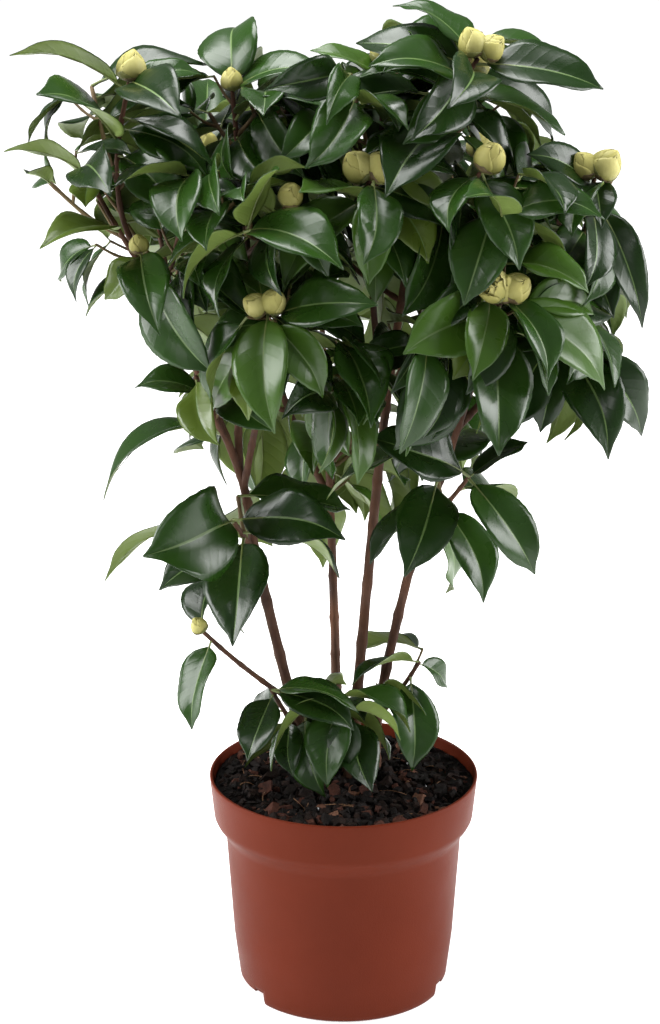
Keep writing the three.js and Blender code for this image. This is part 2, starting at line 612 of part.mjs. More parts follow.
// One solid for a mass: twigs, leaves and buds fused, clear of every limb.
function massSolid(mass, thickLimbs) {
  const twigs = mass.twigs.map((twig, order) => branchSolid(twig.path,
    (t) => twig.radius[0] + (twig.radius[1] - twig.radius[0]) * t, order === 0 ? 4 : 2, 3));
  const parts = [...twigs, ...mass.leaves.map(leafSolid), ...mass.buds.map(budSolid)];
  return largestOf(wasm.Manifold.union(parts).subtract(thickLimbs));
}

// ---------------------------------------------------------------- pot and soil
function ringProfile(points) {
  const profile = points.map(([r, z]) => new THREE.Vector2(r, z));
  return new THREE.LatheGeometry(profile, POT_SIDES).rotateX(Math.PI / 2);
}

function wedge(from, to, inner, outer, low, high) {
  const steps = Math.max(1, Math.ceil((to - from) / 12));
  const outline = new THREE.Shape();
  for (let i = 0; i <= steps; i += 1) {
    const angle = radians(from + (to - from) * i / steps);
    const point = [outer * Math.sin(angle), -outer * Math.cos(angle)];
    if (i === 0) outline.moveTo(...point);
    else outline.lineTo(...point);
  }
  for (let i = steps; i >= 0; i -= 1) {
    const angle = radians(from + (to - from) * i / steps);
    outline.lineTo(inner * Math.sin(angle), -inner * Math.cos(angle));
  }
  const geometry = new THREE.ExtrudeGeometry(outline, { depth: high - low, bevelEnabled: false, steps: 1 });
  return solidOfGeometry(geometry.translate(0, 0, low));
}

function potSolid() {
  const inside = [
    [RIM_R - RIM_WALL, RIM_Z], [BAND_R - RIM_WALL, BAND_Z], [NECK_R - BODY_WALL, NECK_Z],
    [WALL_R - BODY_WALL, WALL_Z], [WALL_R - FLOOR_STEP, FLOOR_Z], [0, FLOOR_Z],
  ];
  const outside = [
    [0, 0], [FOOT_R, 0], [FOOT_FLARE_R - 1, 1.8], [FOOT_FLARE_R, FOOT_FLARE_Z], [WALL_R, WALL_Z],
    [NECK_R, NECK_Z], [BAND_R - 1.2, BAND_Z - 2], [BAND_R, BAND_Z], [RIM_R, RIM_Z - 1], [RIM_R - 0.4, RIM_Z],
  ];
  let pot = solidOfGeometry(ringProfile([...outside, ...inside]));
  for (const half of [0, 180]) {
    const footEnd = FOOT_MIDDLE + FOOT_ARC / 2 + half;
    const nextFoot = FOOT_MIDDLE - FOOT_ARC / 2 + 180 + half;
    const slot = degrees(SLOT_WIDE / FOOT_R);
    pot = pot.subtract(wedge(footEnd, nextFoot, NOTCH_R, WALL_R + 2, -1, NOTCH_Z));
    pot = pot.subtract(wedge(footEnd + 2, footEnd + 2 + slot, SLOT_R, FOOT_R + 1, 1, SLOT_Z));
    pot = pot.subtract(wedge(nextFoot - 2 - slot, nextFoot - 2, SLOT_R, FOOT_R + 1, 1, SLOT_Z));
  }
  return pot;
}

// Height of the soil: level under the stems, unevenly heaped towards the wall.
function soilHeight(x, y) {
  const share = clamp((Math.sqrt(x * x + y * y) - SOIL_FLAT_R) / 25, 0, 1);
  const uneven = 0.5 + 0.3 * Math.sin(x * 0.07 + 1) + 0.3 * Math.sin(y * 0.09 - x * 0.05);
  return SOIL_Z + share * clamp(uneven, 0, 1) * SOIL_HEAP;
}

function soilSolid() {
  const wallAt = (z) => (z > BAND_Z ? BAND_R + (RIM_R - BAND_R) * (z - BAND_Z) / (RIM_Z - BAND_Z)
    - RIM_WALL : NECK_R - BODY_WALL);
  const ring = (r, z) => Array.from({ length: SOIL_SIDES }, (_, j) => {
    const angle = 2 * Math.PI * j / SOIL_SIDES;
    const x = r * Math.cos(angle);
    const y = r * Math.sin(angle);
    return [x, y, z ?? soilHeight(x, y)];
  });
  const clear = GAP + 0.25;
  return ringsSolid([
    ring(WALL_R - FLOOR_STEP - clear, FLOOR_Z + GAP), ring(WALL_R - BODY_WALL - clear, WALL_Z),
    ring(NECK_R - BODY_WALL - clear, NECK_Z), ring(wallAt(BAND_Z + 1) - clear, BAND_Z + 1),
    ring(wallAt(SOIL_Z) - clear), ...SOIL_RINGS.map((r) => ring(r)), ring(SOIL_FLAT_R), [[0, 0, SOIL_Z]],
  ]);
}

// ---------------------------------------------------------------- the whole plant
const COLOURS = {
  pot: { color: 0x9c4a32, roughness: 0.55, metalness: 0 },
  soil: { color: 0x241813, roughness: 1, metalness: 0 },
  bark: { color: 0x5a3a2a, roughness: 0.85, metalness: 0 },
  leaf: { color: 0x1f4a26, roughness: 0.35, metalness: 0 },
};

const plant = new THREE.Group();

function addPiece(name, solid, look) {
  const mesh = new THREE.Mesh(geometryOf(solid), new THREE.MeshStandardMaterial(COLOURS[look]));
  mesh.name = name;
  plant.add(mesh);
}

const allLimbs = limbs();
addPiece("pot", potSolid(), "pot");
addPiece("soil", soilSolid(), "soil");
let thickLimbs = solidOf([], []);
for (const [name, limb] of Object.entries(allLimbs)) {
  addPiece(name, largestOf(limbSolid(limb).subtract(thickLimbs)), "bark");
  thickLimbs = thickLimbs.add(limbSolid(limb, GAP));
}
for (const mass of growCrown(allLimbs)) {
  addPiece(`leaves_${mass.plan.name}`, massSolid(mass, thickLimbs), "leaf");
}

export default plant;
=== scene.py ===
import math
from math import ceil, cos, degrees, floor, pi, radians, sin
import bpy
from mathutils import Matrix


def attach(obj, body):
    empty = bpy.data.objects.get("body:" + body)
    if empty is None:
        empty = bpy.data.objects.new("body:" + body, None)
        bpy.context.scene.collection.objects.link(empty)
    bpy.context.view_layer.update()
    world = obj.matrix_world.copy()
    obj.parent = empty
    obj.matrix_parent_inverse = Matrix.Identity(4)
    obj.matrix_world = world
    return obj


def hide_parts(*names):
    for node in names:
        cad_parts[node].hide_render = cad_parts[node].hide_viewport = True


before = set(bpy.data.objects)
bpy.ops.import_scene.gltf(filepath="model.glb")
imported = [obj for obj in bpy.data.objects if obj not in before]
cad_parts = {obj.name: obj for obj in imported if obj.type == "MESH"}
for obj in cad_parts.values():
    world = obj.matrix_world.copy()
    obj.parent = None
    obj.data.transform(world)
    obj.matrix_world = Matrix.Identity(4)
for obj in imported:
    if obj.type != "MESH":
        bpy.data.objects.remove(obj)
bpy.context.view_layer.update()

from types import SimpleNamespace as Item
import bpy
import numpy as np
from mathutils import Vector

MM = 0.001
norm = np.linalg.norm

# ---- sizes in mm, as the solids have them
GAP = 0.3
RIM_R, RIM_Z, RIM_WALL = 95.0, 161.0, 2.2
BAND_R, BAND_Z, NECK_R, NECK_Z = 92.0, 131.0, 83.5, 116.0
WALL_R, WALL_Z, FOOT_R = 78.2, 40.0, 70.5
FOOT_FLARE_R, FOOT_FLARE_Z, FLOOR_Z, BODY_WALL = 73.8, 5.0, 12.0, 2.6
NOTCH_R, NOTCH_Z, FOOT_MIDDLE, FOOT_ARC = 58.0, 8.5, 6.5, 113.0
SLOT_WIDE, SLOT_Z, SLOT_R = 9.0, 10.5, 64.0
SOIL_Z, SOIL_FLAT_R, SOIL_HEAP = 152.0, 48.0, 4.0

FLARE, FLARE_HIGH, LIMB_SAMPLES = 1.7, 0.05, 90
STEMS = {
    "stem_left": ([[-12, 10], [-34, 2, 206], [-60, -5, 323], [-72, -10, 390],
                   [-110, -18, 489], [-141, -22, 553]], (4.4, 1.9)),
    "stem_centre": ([[6, 12], [10, 14, 218], [22, 14, 361], [32, 8, 455],
                     [44, 2, 541], [60, -5, 616]], (4.2, 1.9)),
    "stem_right": ([[22, 24], [26, 20, 208], [46, 5, 312], [64, -10, 377],
                    [81, -25, 438], [97, -45, 500]], (4.0, 1.9)),
    "stem_back": ([[-4, 36], [-6, 60, 238], [-10, 85, 351], [-15, 105, 456]], (4.0, 1.9)),
}
BOUGHS = {
    "bough_left_inner": ("stem_left", 0.6, [[-72, -2, 439], [-65, 10, 521], [-70, 10, 591]], (2.8, 1.8)),
    "bough_left_front": ("stem_left", 0.57, [[-58, -36, 440], [-41, -62, 504]], (2.6, 1.8)),
    "bough_centre": ("stem_centre", 0.57, [[22, -5, 483], [16, -30, 573]], (2.8, 1.8)),
    "bough_right": ("stem_right", 0.76, [[104, 5, 448], [134, 20, 490], [156, 18, 534]], (2.6, 1.8)),
    "bough_back_left": ("stem_back", 0.62, [[-42, 115, 401], [-74, 140, 491]], (2.8, 1.8)),
    "bough_back_right": ("stem_back", 0.7, [[37, 120, 414], [78, 140, 491]], (2.8, 1.8)),
}

LEAF, WIDE, STALK, GOLDEN, TURN_OUT, FAR_FOLD = 74.0, 0.27, 0.1, 137.508, 38.0, 14.0
LEAF_GAP, WOOD_GAP, TWIG_GAP, SOIL_GAP, RIM_ROOM = 6.0, 2.8, 4.0, 8.0, (12.0, 6.0)
NEAR_WOOD, NEAR_BLADE, AIM_PASSES = 60.0, 95.0, 10
LEAF_TRIES, LEAF_TURN, TWIG_TRIES, TWIG_TURN = 16, 22.5, 8, 45.0
BUD_SPREAD, BUD_STALK = 0.9, 3.0
MAIN_TWIG, TWIG_CLEAR = (2.3, 1.8), (1.4, 1.0)
# lead: how much of the twig's own way, of outward and of upward goes into a side twig's way
SIDE_TWIGS = Item(lead=(0.62, 0.78, 0.25), share=(0.42, 0.6), limits=(0, math.inf), lift=0.12, free=3,
                  gap=TWIG_GAP, radius=(1.8, 1.6), wood=TWIG_CLEAR[1])
CROWN = np.array([
    [156, -78, 66], [250, -100, 55], [300, -120, 85], [330, -135, 120], [400, -128, 150],
    [420, -128, 190], [475, -136, 200], [510, -150, 200], [560, -166, 195], [600, -188, 186],
    [640, -200, 158], [690, -200, 150], [705, -95, 120], [730, -5, 90]], float)
CROWN_Y, CROWN_DEPTH = 25.0, 0.86

# name: limb, share, tip, leaves, side twigs, buds, seed, furthest leaves. A furthest leaf: share of the
# twig, tip, roll, arch and, where it isn't WIDE, half its width as a share of its length.
MASSES = {
    "top_left": ("stem_left", 1, [-142, -25, 668], 9, 1, 1, 1, [
        [0.95, [-216, -35, 691], 62, 60], [0.7, [-194, -84, 678], -25, 35, 0.3],
        [0.95, [-96, -5, 670], 30, 50, 0.24]]),
    "far_left": ("stem_left", 0.91, [-172, -46, 614], 7, 1, 0, 163, [
        [0.95, [-224, -50, 627], 64, 62], [0.9, [-169, -84, 600], 0, 35, 0.3],
        [0.5, [-196, -86, 576], -20, 50]]),
    "left_side": ("stem_left", 0.85, [-135, -55, 560], 6, 0, 1, 97, [
        [0.95, [-159, -62, 529], -40, 50, 0.34], [0.2, [-126, -60, 490], 10, 20]]),
    "top_left_inner": ("bough_left_inner", 1, [-75, 5, 655], 10, 2, 1, 3, [
        [0.98, [-73, 62, 684], 0, 100, 0.32], [0.7, [-8, -45, 655], 30, 80],
        [0.98, [-12, -8, 668], 25, 70, 0.3]]),
    "front_left": ("bough_left_front", 1, [-50, -78, 525], 9, 1, 2, 4, [
        [0.75, [-66, -108, 464], 0, 25, 0.34], [0.95, [-8, -80, 475], 25, 30]]),
    "centre": ("bough_centre", 1, [16, -50, 608], 11, 2, 2, 5, [[0.5, [-29, -90, 611], -25, 30]]),
    "top_right": ("stem_centre", 1, [88, -20, 682], 13, 3, 3, 188, [
        [0.95, [171, -25, 663], 28, 30], [0.6, [146, -30, 633], 10, 60], [0.8, [20, -60, 690], -40, 45],
        [0.98, [36, 14, 713], 10, 45], [0.3, [29, -90, 611], -30, 60], [0.9, [8, 10, 686], -35, 50]]),
    "front_right": ("stem_right", 1, [105, -75, 535], 8, 1, 3, 168, [
        [0.6, [39, -110, 507], -45, 25], [0.9, [176, -72, 474], 38, 30], [0.3, [102, -112, 440], 0, 22]]),
    "right_top": ("bough_right", 1, [168, 0, 595], 9, 2, 2, 8, [
        [0.75, [203, -25, 503], 5, 60, 0.15], [0.3, [182, -22, 506], 15, 25, 0.26],
        [0.9, [150, -60, 575], 0, 50], [0.9, [124, -20, 618], -55, 45],
        [0.98, [172, -30, 573], 0, 60, 0.34]]),
    "right_mid": ("bough_right", 0.6, [163, -10, 480], 8, 1, 0, 9, [
        [0.98, [206, -10, 419], 30, 50, 0.24], [0.6, [179, -50, 418], 10, 40, 0.24]]),
    "left_mid": ("stem_left", 0.64, [-100, -45, 470], 3, 1, 0, 10, [
        [0.8, [-139, -40, 463], -25, 50, 0.33], [0.25, [-162, -40, 385], 12, 100, 0.2]]),
    "low_left": ("stem_left", 0.42, [-76, -36, 364], 5, 1, 0, 11, [
        [0.95, [-131, -95, 362], -50, 60, 0.38], [0.7, [-164, -8, 318], 15, 60, 0.18],
        [0.5, [-76, -98, 300], 5, 25], [0.3, [-127, -40, 315], -20, 25]]),
    "low_twig": ("stem_left", 0.22, [-98, -25, 278], 1, 0, 1, 173, [[0.9, [-107, -55, 220], 0, 28, 0.3]]),
    "right_low": ("stem_right", 0.5, [85, -35, 395], 7, 1, 0, 13, [
        [0.98, [129, -60, 336], 30, 70, 0.24], [0.45, [95, -60, 315], 10, 60, 0.24],
        [0.98, [125, -18, 415], 30, 30]]),
    "foot_left": ("stem_left", 0.13, [-50, -35, 238], 3, 0, 0, 68, [
        [0.95, [-68, -66, 201], 0, 18, 0.32], [0.5, [-36, -48, 180], 15, 18]]),
    "foot_front": ("stem_centre", 0.13, [-6, -30, 232], 4, 0, 0, 133, [
        [0.95, [-12, -62, 178], 0, 18], [0.5, [20, -58, 172], 0, 18]]),
    "foot_right": ("stem_right", 0.16, [53, -5, 247], 4, 0, 0, 130, [
        [0.8, [48, -34, 178], 0, 18], [0.98, [74, 14, 220], 25, 40]]),
    "top_centre": ("bough_centre", 0.7, [27, 20, 668], 10, 2, 1, 17, [[0.95, [-21, 15, 681], -30, 40]]),
    "top_middle": ("bough_left_inner", 0.9, [-36, 40, 640], 9, 2, 0, 37, []),
    "inner_left": ("bough_left_inner", 0.75, [-37, -60, 595], 9, 1, 1, 18, []),
    "left_inner": ("stem_left", 0.88, [-100, -50, 610], 9, 1, 0, 28, []),
    "right_inner": ("stem_centre", 0.85, [92, -60, 618], 10, 1, 1, 19, [
        [0.9, [67, -100, 588], 20, 60], [0.95, [114, -92, 560], 25, 20]]),
    "centre_low": ("bough_centre", 0.2, [-5, -60, 500], 8, 1, 0, 20, []),
    "centre_right": ("stem_centre", 0.62, [54, -60, 520], 8, 1, 0, 21, []),
    "middle": ("stem_centre", 0.72, [-20, 40, 545], 9, 2, 0, 33, []),
    "right_back": ("bough_right", 0.8, [150, 70, 562], 9, 2, 0, 29, []),
    "top_back": ("stem_centre", 0.93, [70, 60, 655], 9, 2, 1, 34, []),
    "left_back": ("stem_left", 0.8, [-130, 50, 560], 8, 2, 0, 35, []),
    "back_top": ("stem_back", 1, [5, 110, 600], 10, 3, 2, 42, []),
    "back_left": ("bough_back_left", 1, [-97, 120, 580], 9, 3, 1, 23, []),
    "back_right": ("bough_back_right", 1, [96, 125, 578], 10, 3, 1, 24, []),
    "back_low_left": ("bough_back_left", 0.45, [-86, 150, 400], 8, 2, 0, 109, []),
    "back_low_right": ("bough_back_right", 0.45, [80, 150, 400], 8, 2, 0, 123, []),
    "back_mid": ("stem_back", 0.6, [-6, 140, 375], 8, 2, 0, 27, []),
}


# ---- small maths
def vec(*values):
    return np.array(values, float)


def unit(a):
    return a / norm(a, axis=-1, keepdims=True)


def across(way):
    first = unit(np.cross(way, vec(0, 0, 1) if abs(way[2]) < 0.9 else vec(1, 0, 0)))
    return first, np.cross(way, first)


class Dice:
    """The same rolls for the same seed, as in the part's source."""

    def __init__(self, seed):
        self.state = seed * 7919 + 17

    def roll(self, low, high):
        self.state = self.state * 16807 % 2147483647
        return low + (high - low) * self.state / 2147483647


def on_path(path, t):
    """Points at shares t of a smooth curve through the path's points."""
    path = np.asarray(path, float)
    t = np.asarray(t, float)
    last = len(path) - 1
    i = np.minimum((t * last).astype(int), last - 1)
    f = (t * last - i)[..., None]
    b, c = path[i], path[i + 1]
    a = np.where((i > 0)[..., None], path[np.maximum(i - 1, 0)], 2 * b - c)
    d = np.where((i + 2 <= last)[..., None], path[np.minimum(i + 2, last)], 2 * c - b)
    return 0.5 * (2 * b + (c - a) * f + (2 * a - 5 * b + 4 * c - d) * f * f
                  + (3 * b - a - 3 * c + d) * f * f * f)


def way_of(path, t):
    t = np.asarray(t, float)
    return unit(on_path(path, np.minimum(1, t + 0.01)) - on_path(path, np.maximum(0, t - 0.01)))


# ---- limbs
def make_limbs():
    limbs = {}
    for name, (path, radius) in STEMS.items():
        limbs[name] = Item(path=np.array([path[0] + [SOIL_Z + GAP]] + path[1:], float),
                           radius=radius, flare=FLARE)
    for name, (on, at, path, radius) in BOUGHS.items():
        foot = on_path(limbs[on].path, at)
        limbs[name] = Item(path=np.vstack([foot, path]), radius=radius, flare=1.0)
    return limbs


def limb_radius(limb, t):
    foot, tip = limb.radius
    flare = (limb.flare - 1) * np.maximum(0, 1 - t / FLARE_HIGH) ** 2
    return foot + (tip - foot) * t + foot * flare


# ---- leaves
def leaf_frame(leaf):
    a, t, r = (radians(getattr(leaf, angle)) for angle in ("azimuth", "tilt", "roll"))
    forward = vec(cos(a) * cos(t), sin(a) * cos(t), sin(t))
    level = vec(-sin(a), cos(a), 0)
    side = level * cos(r) + np.cross(forward, level) * sin(r)
    return forward, side, np.cross(forward, side)


def blade(u):
    """Half the blade's width, as a share of its widest."""
    t = np.clip((np.asarray(u, float) - STALK) / (1 - STALK), 0, 1)
    return 3.304 * t ** 0.75 * (1 - t)


def leaf_point(leaf, u, v):
    """The leaf's surface: u from its root to its tip, v from -1 to 1 across it."""
    forward, side, face = leaf_frame(leaf)
    arch, fold = radians(leaf.arch), radians(leaf.fold)
    u, v = (np.asarray(x, float)[..., None] for x in np.broadcast_arrays(u, v))
    run = leaf.length * np.sin(arch * u) / arch
    drop = leaf.length * (1 - np.cos(arch * u)) / arch
    up = face * np.cos(arch * u) + forward * np.sin(arch * u)
    half = leaf.width * blade(u[..., 0])[..., None]
    p = leaf.root + forward * run - face * drop + side * (v * half * cos(fold))
    return p + up * (np.abs(v) * half * sin(fold))


PROBE_U = np.array([0.16, 0.24, 0.32, 0.4, 0.48, 0.56, 0.64, 0.72, 0.8, 0.88, 0.94])
PROBE_V = np.array([-0.97, -0.65, -0.33, 0, 0.33, 0.65, 0.97])
MIDDLE = 38


def leaf_probes(leaf):
    u = np.append(np.repeat(PROBE_U, len(PROBE_V)), 1)
    v = np.append(np.tile(PROBE_V, len(PROBE_U)), 0)
    return leaf_point(leaf, u, v)


# ---- growth, by the source's rule
def in_crown(p):
    z = p[:, 2]
    k = np.searchsorted(CROWN[:, 0], z, side="right")
    if (k < 1).any() or (k >= len(CROWN)).any():
        return False
    left = np.interp(z, CROWN[:, 0], CROWN[:, 1])
    right = np.interp(z, CROWN[:, 0], CROWN[:, 2])
    half = (right - left) / 2
    sideways = (p[:, 0] - (left + right) / 2) / half
    inward = (p[:, 1] - CROWN_Y) / (half * CROWN_DEPTH + 25)
    return bool((sideways ** 4 + inward ** 4 < 1).all())


class Garden:
    """What has grown so far, and whether something new keeps clear of it."""

    def __init__(self, limbs):
        self.limbs = limbs
        self.at = np.zeros((0, 3))
        self.r = np.zeros(0)
        self.blades = np.zeros((0, len(PROBE_U) * len(PROBE_V) + 1, 3))
        self.owners = []
        for limb in limbs.values():
            t = np.arange(LIMB_SAMPLES + 1) / LIMB_SAMPLES
            self.add_wood(on_path(limb.path, t), limb_radius(limb, t))

    def add_wood(self, points, radii):
        self.at = np.vstack([self.at, points])
        self.r = np.append(self.r, np.broadcast_to(radii, len(points)))

    def twig_is_clear(self, points, gap=TWIG_GAP):
        away = norm(points[:, None] - self.at[None], axis=-1)
        if (away < self.r + gap).any():
            return False
        other = self.blades.reshape(-1, 3)
        if not len(other):
            return True
        away = norm(points[:, None] - other[None], axis=-1)
        return not (away < TWIG_CLEAR[1] + gap).any()

    def leaf_is_clear(self, probes, owner, inside, gap=LEAF_GAP, wood_gap=WOOD_GAP):
        middle = probes[MIDDLE]
        axis = np.hypot(probes[:, 0], probes[:, 1])
        if (probes[:, 2] < SOIL_Z + SOIL_GAP).any():
            return False
        if ((abs(axis - RIM_R) < RIM_ROOM[0]) & (probes[:, 2] < RIM_Z + RIM_ROOM[1])).any():
            return False
        if inside and not in_crown(probes):
            return False
        near = norm(self.at - middle, axis=-1) < NEAR_WOOD
        away = norm(probes[:, None] - self.at[near][None], axis=-1)
        if (away < self.r[near] + wood_gap).any():
            return False
        near = norm(self.blades[:, MIDDLE] - middle, axis=-1) < NEAR_BLADE
        if not inside:
            near &= np.array(self.owners, object) != owner
        for other in self.blades[near]:
            if (norm(probes[:, None] - other[None], axis=-1) < gap).any():
                return False
        return True


def grow_main_twig(garden, name, plan):
    on, at, tip, leaves_wanted, sides, bud_count, seed, far = plan
    limb = garden.limbs[on]
    tip = np.array(tip, float)
    root = on_path(limb.path, at)
    span = norm(root - tip)
    if at == 1:
        bend = root + way_of(limb.path, 1) * span * 0.4
    else:
        bend = (root + tip) * 0.5 - vec(0, 0, span * 0.06)
    t = np.array([0, 0.25, 0.5, 0.75, 1])[:, None]
    main = root * (1 - t) ** 2 + bend * 2 * t * (1 - t) + tip * t * t
    garden.add_wood(on_path(main, np.arange(21) / 20), TWIG_CLEAR[0])
    return Item(name=name, tip=tip, leaves_wanted=leaves_wanted, sides=sides, bud_count=bud_count, far=far,
                dice=Dice(seed), span=span, twigs=[Item(path=main, radius=MAIN_TWIG)], leaves=[], buds=[],
                droop=12 + 30 * max(0, min(1, (600 - tip[2]) / 300)),
                lean=unit(vec(main[0][0], main[0][1], 0)), middle=on_path(main, 0.7), reach=span * 0.5 + 75)


def add_branch(garden, mass, path, s, angle, rule):
    """A twig from share s of a path, turned round it until it has room."""
    foot, way = on_path(path, s), way_of(path, s)
    first, second = across(way)
    ahead, outward, upward = rule.lead
    shortest, longest = rule.limits
    for attempt in range(TWIG_TRIES):
        turn = radians(angle + TWIG_TURN * attempt)
        out = first * cos(turn) + second * sin(turn)
        lead = unit(way * ahead + out * outward + vec(0, 0, upward))
        long = min(longest, max(shortest, mass.span * mass.dice.roll(*rule.share)))
        twig = np.array([foot, foot + lead * long * 0.5, foot + lead * long + vec(0, 0, long * rule.lift)])
        if garden.twig_is_clear(on_path(twig, np.arange(rule.free, 11) / 10), rule.gap):
            mass.twigs.append(Item(path=twig, radius=rule.radius))
            garden.add_wood(on_path(twig, np.arange(11) / 10), rule.wood)
            return


def grow_side_twigs(garden, mass):
    roll, twigs, buds = mass.dice.roll, mass.twigs, mass.bud_count
    turn = roll(0, 360)
    for i in range(mass.sides):
        s = 0.2 + 0.5 * (i + 1) / (mass.sides + 1)
        add_branch(garden, mass, twigs[0].path, s, turn + GOLDEN * i, SIDE_TWIGS)
    for i in range(buds):
        path = twigs[max(0, i - 1) % len(twigs)].path
        beside = BUD_SPREAD * (2 * i - 1) if buds > 1 and i < 2 else 0
        way = unit(way_of(path, 1) + vec(beside, 0, 0.4))
        bud = Item(root=on_path(path, 1) + way * abs(beside) * BUD_STALK, way=way, length=roll(20, 24))
        mass.buds.append(bud)
        garden.add_wood((bud.root + way * bud.length * 0.45)[None], bud.length * 0.36)


def keep_leaf(garden, mass, leaf, inside, **gaps):
    probes = leaf_probes(leaf)
    if not garden.leaf_is_clear(probes, mass.name, inside, **gaps):
        return False
    garden.blades = np.concatenate([garden.blades, probes[None]])
    garden.owners.append(mass.name)
    mass.leaves.append(leaf)
    return True


def aimed_leaf(root, tip, roll, arch, wide):
    """A leaf whose tip comes to a given place: each pass moves the mark by what the last one missed."""
    bend = radians(arch)
    mark = tip
    for _ in range(AIM_PASSES):
        chord = mark - root
        span = norm(chord)
        length = span * bend / (2 * sin(bend / 2))
        leaf = Item(root=root, roll=roll, arch=arch, length=length, width=wide * length, fold=FAR_FOLD,
                    azimuth=degrees(math.atan2(chord[1], chord[0])),
                    tilt=degrees(math.asin(chord[2] / span)) + arch / 2, far=True)
        mark = mark + tip - leaf_point(leaf, 1, 0)
    return leaf


def grow_far_leaves(garden, mass):
    for s, tip, roll, arch, *wide in mass.far:
        root = on_path(mass.twigs[0].path, s)
        leaf = aimed_leaf(root, np.array(tip, float), roll, arch, wide[0] if wide else WIDE)
        keep_leaf(garden, mass, leaf, False)


def seeded_leaf(mass, twig, s, angle, size):
    """One leaf set on a twig. The order of the rolls is the source's."""
    roll, turn = mass.dice.roll, radians(angle)
    way = way_of(twig.path, min(s, 0.99))
    first, second = across(way)
    opening = radians(50 + 35 * (1 - s) + roll(-8, 12))
    out = first * cos(turn) + second * sin(turn)
    lead = way * cos(opening) + out * sin(opening)
    azimuth = math.atan2(lead[1], lead[0])
    rise = degrees(math.asin(max(-1, min(1, lead[2])))) - mass.droop * roll(0.6, 1.5)
    outward = -TURN_OUT * float(mass.lean @ vec(-sin(azimuth), cos(azimuth), 0))
    leaf = Item(root=on_path(twig.path, s), azimuth=degrees(azimuth), tilt=max(-72, rise), far=False)
    leaf.length = size * roll(0.82, 1.16)
    leaf.roll = outward + roll(-18, 18)
    leaf.arch = roll(28, 72)
    leaf.fold = roll(10, 30)
    leaf.width = WIDE * roll(0.9, 1.1) * leaf.length
    return leaf


def place_leaf(garden, mass, twig, s, angle, size, keep):
    """A seeded leaf, turned round its twig until it is within the mass's reach and has room."""
    for attempt in range(LEAF_TRIES):
        leaf = seeded_leaf(mass, twig, s, angle + LEAF_TURN * attempt, size)
        away = norm(leaf_point(leaf, 1, 0) - mass.middle)
        if away < mass.reach and keep(garden, mass, leaf, True):
            return


def grow_leaves(garden, mass):
    half, twigs = mass.leaves_wanted * 0.5, mass.twigs
    for twig in twigs:
        main = twig is twigs[0]
        count = floor(half + 0.5) if main else max(1, floor(half / max(1, len(twigs) - 1) + 0.5))
        start = mass.dice.roll(0, 360)
        for j in range(count):
            s = 1 - 0.8 * (j / max(count - 1, 1)) ** 1.1 if main else 1 - 0.55 * (j / count)
            place_leaf(garden, mass, twig, s, start + GOLDEN * j, LEAF, keep_leaf)


def grow_crown():
    limbs = make_limbs()
    garden = Garden(limbs)
    masses = [grow_main_twig(garden, name, plan) for name, plan in MASSES.items()]
    for grow in (grow_far_leaves, grow_side_twigs, grow_leaves):
        for mass in masses:
            grow(garden, mass)
    return garden, limbs, masses


# ---- finer twigs and leaves in the same reach
FINE_LEAF, FINE_GAP, FINE_WOOD = 66.0, 2.4, 1.4
FINE_TWIGS = Item(lead=(0.55, 0.8, 0.3), share=(0.2, 0.36), limits=(22.0, 60.0), lift=0.14, free=4,
                  gap=1.5, radius=(1.3, 0.9), wood=0.8)
OPEN = ("left_side", "left_mid", "low_left", "low_twig", "right_low")
LEAST_FULL, FULL_FROM_Z, FULL_OVER_Z = 0.3, 400, 150
BUD_VIEW, BUD_ROOM, FRONT_Y = unit(vec(0, -0.94, 0.34)), 15.0, 10.0
# x and z of a line along the crown's top, which falls towards its back by RIDGE_SLOPE
RIDGE = np.array([[-230, 640], [-150, 674], [-18, 674], [0, 702], [92, 704], [120, 660], [160, 640],
                  [178, 600], [215, 560]], float)
RIDGE_SLOPE, SIDES_MIDDLE, SIDES_HALF = 0.4, -8.0, 218.0
BARE, TIP_TRIES, TIP_LEAVES, TIP_SIZE, TIP_SHRINK, TIP_SHARE = 9.0, 64, 2, 0.95, 0.5, 0.97


def grow_fine_twigs(garden, mass):
    thick = list(mass.twigs)
    turn = mass.dice.roll(0, 360)
    for i in range(max(1, round(mass.leaves_wanted * 0.45))):
        s = 0.25 + 0.7 * ((i * 0.618) % 1)
        add_branch(garden, mass, thick[i % len(thick)].path, s, turn + GOLDEN * i, FINE_TWIGS)


def shades_bud(probes):
    """A finer leaf leaves the outer side of the buds in front open, so that they show."""
    for bud in front_buds:
        away = probes - bud
        ahead = away @ BUD_VIEW
        beside = norm(away - ahead[:, None] * BUD_VIEW, axis=1)
        if ((ahead > 0) & (beside < BUD_ROOM)).any():
            return True
    return False


def keep_fine_leaf(garden, mass, leaf, inside):
    probes = leaf_probes(leaf)
    ridge = np.interp(probes[:, 0], RIDGE[:, 0], RIDGE[:, 1]) - RIDGE_SLOPE * probes[:, 1]
    if (probes[:, 2] > ridge).any() or shades_bud(probes):
        return False
    if not inside and (np.abs(probes[:, 0] - SIDES_MIDDLE) > SIDES_HALF).any():
        return False
    return keep_leaf(garden, mass, leaf, inside, gap=FINE_GAP, wood_gap=FINE_WOOD)


def fullness(mass):
    """How many finer leaves a mass gets: the crown is full above, open below and down its left side."""
    high = max(0, min(1, (mass.tip[2] - FULL_FROM_Z) / FULL_OVER_Z))
    return 0 if mass.name in OPEN else LEAST_FULL + high


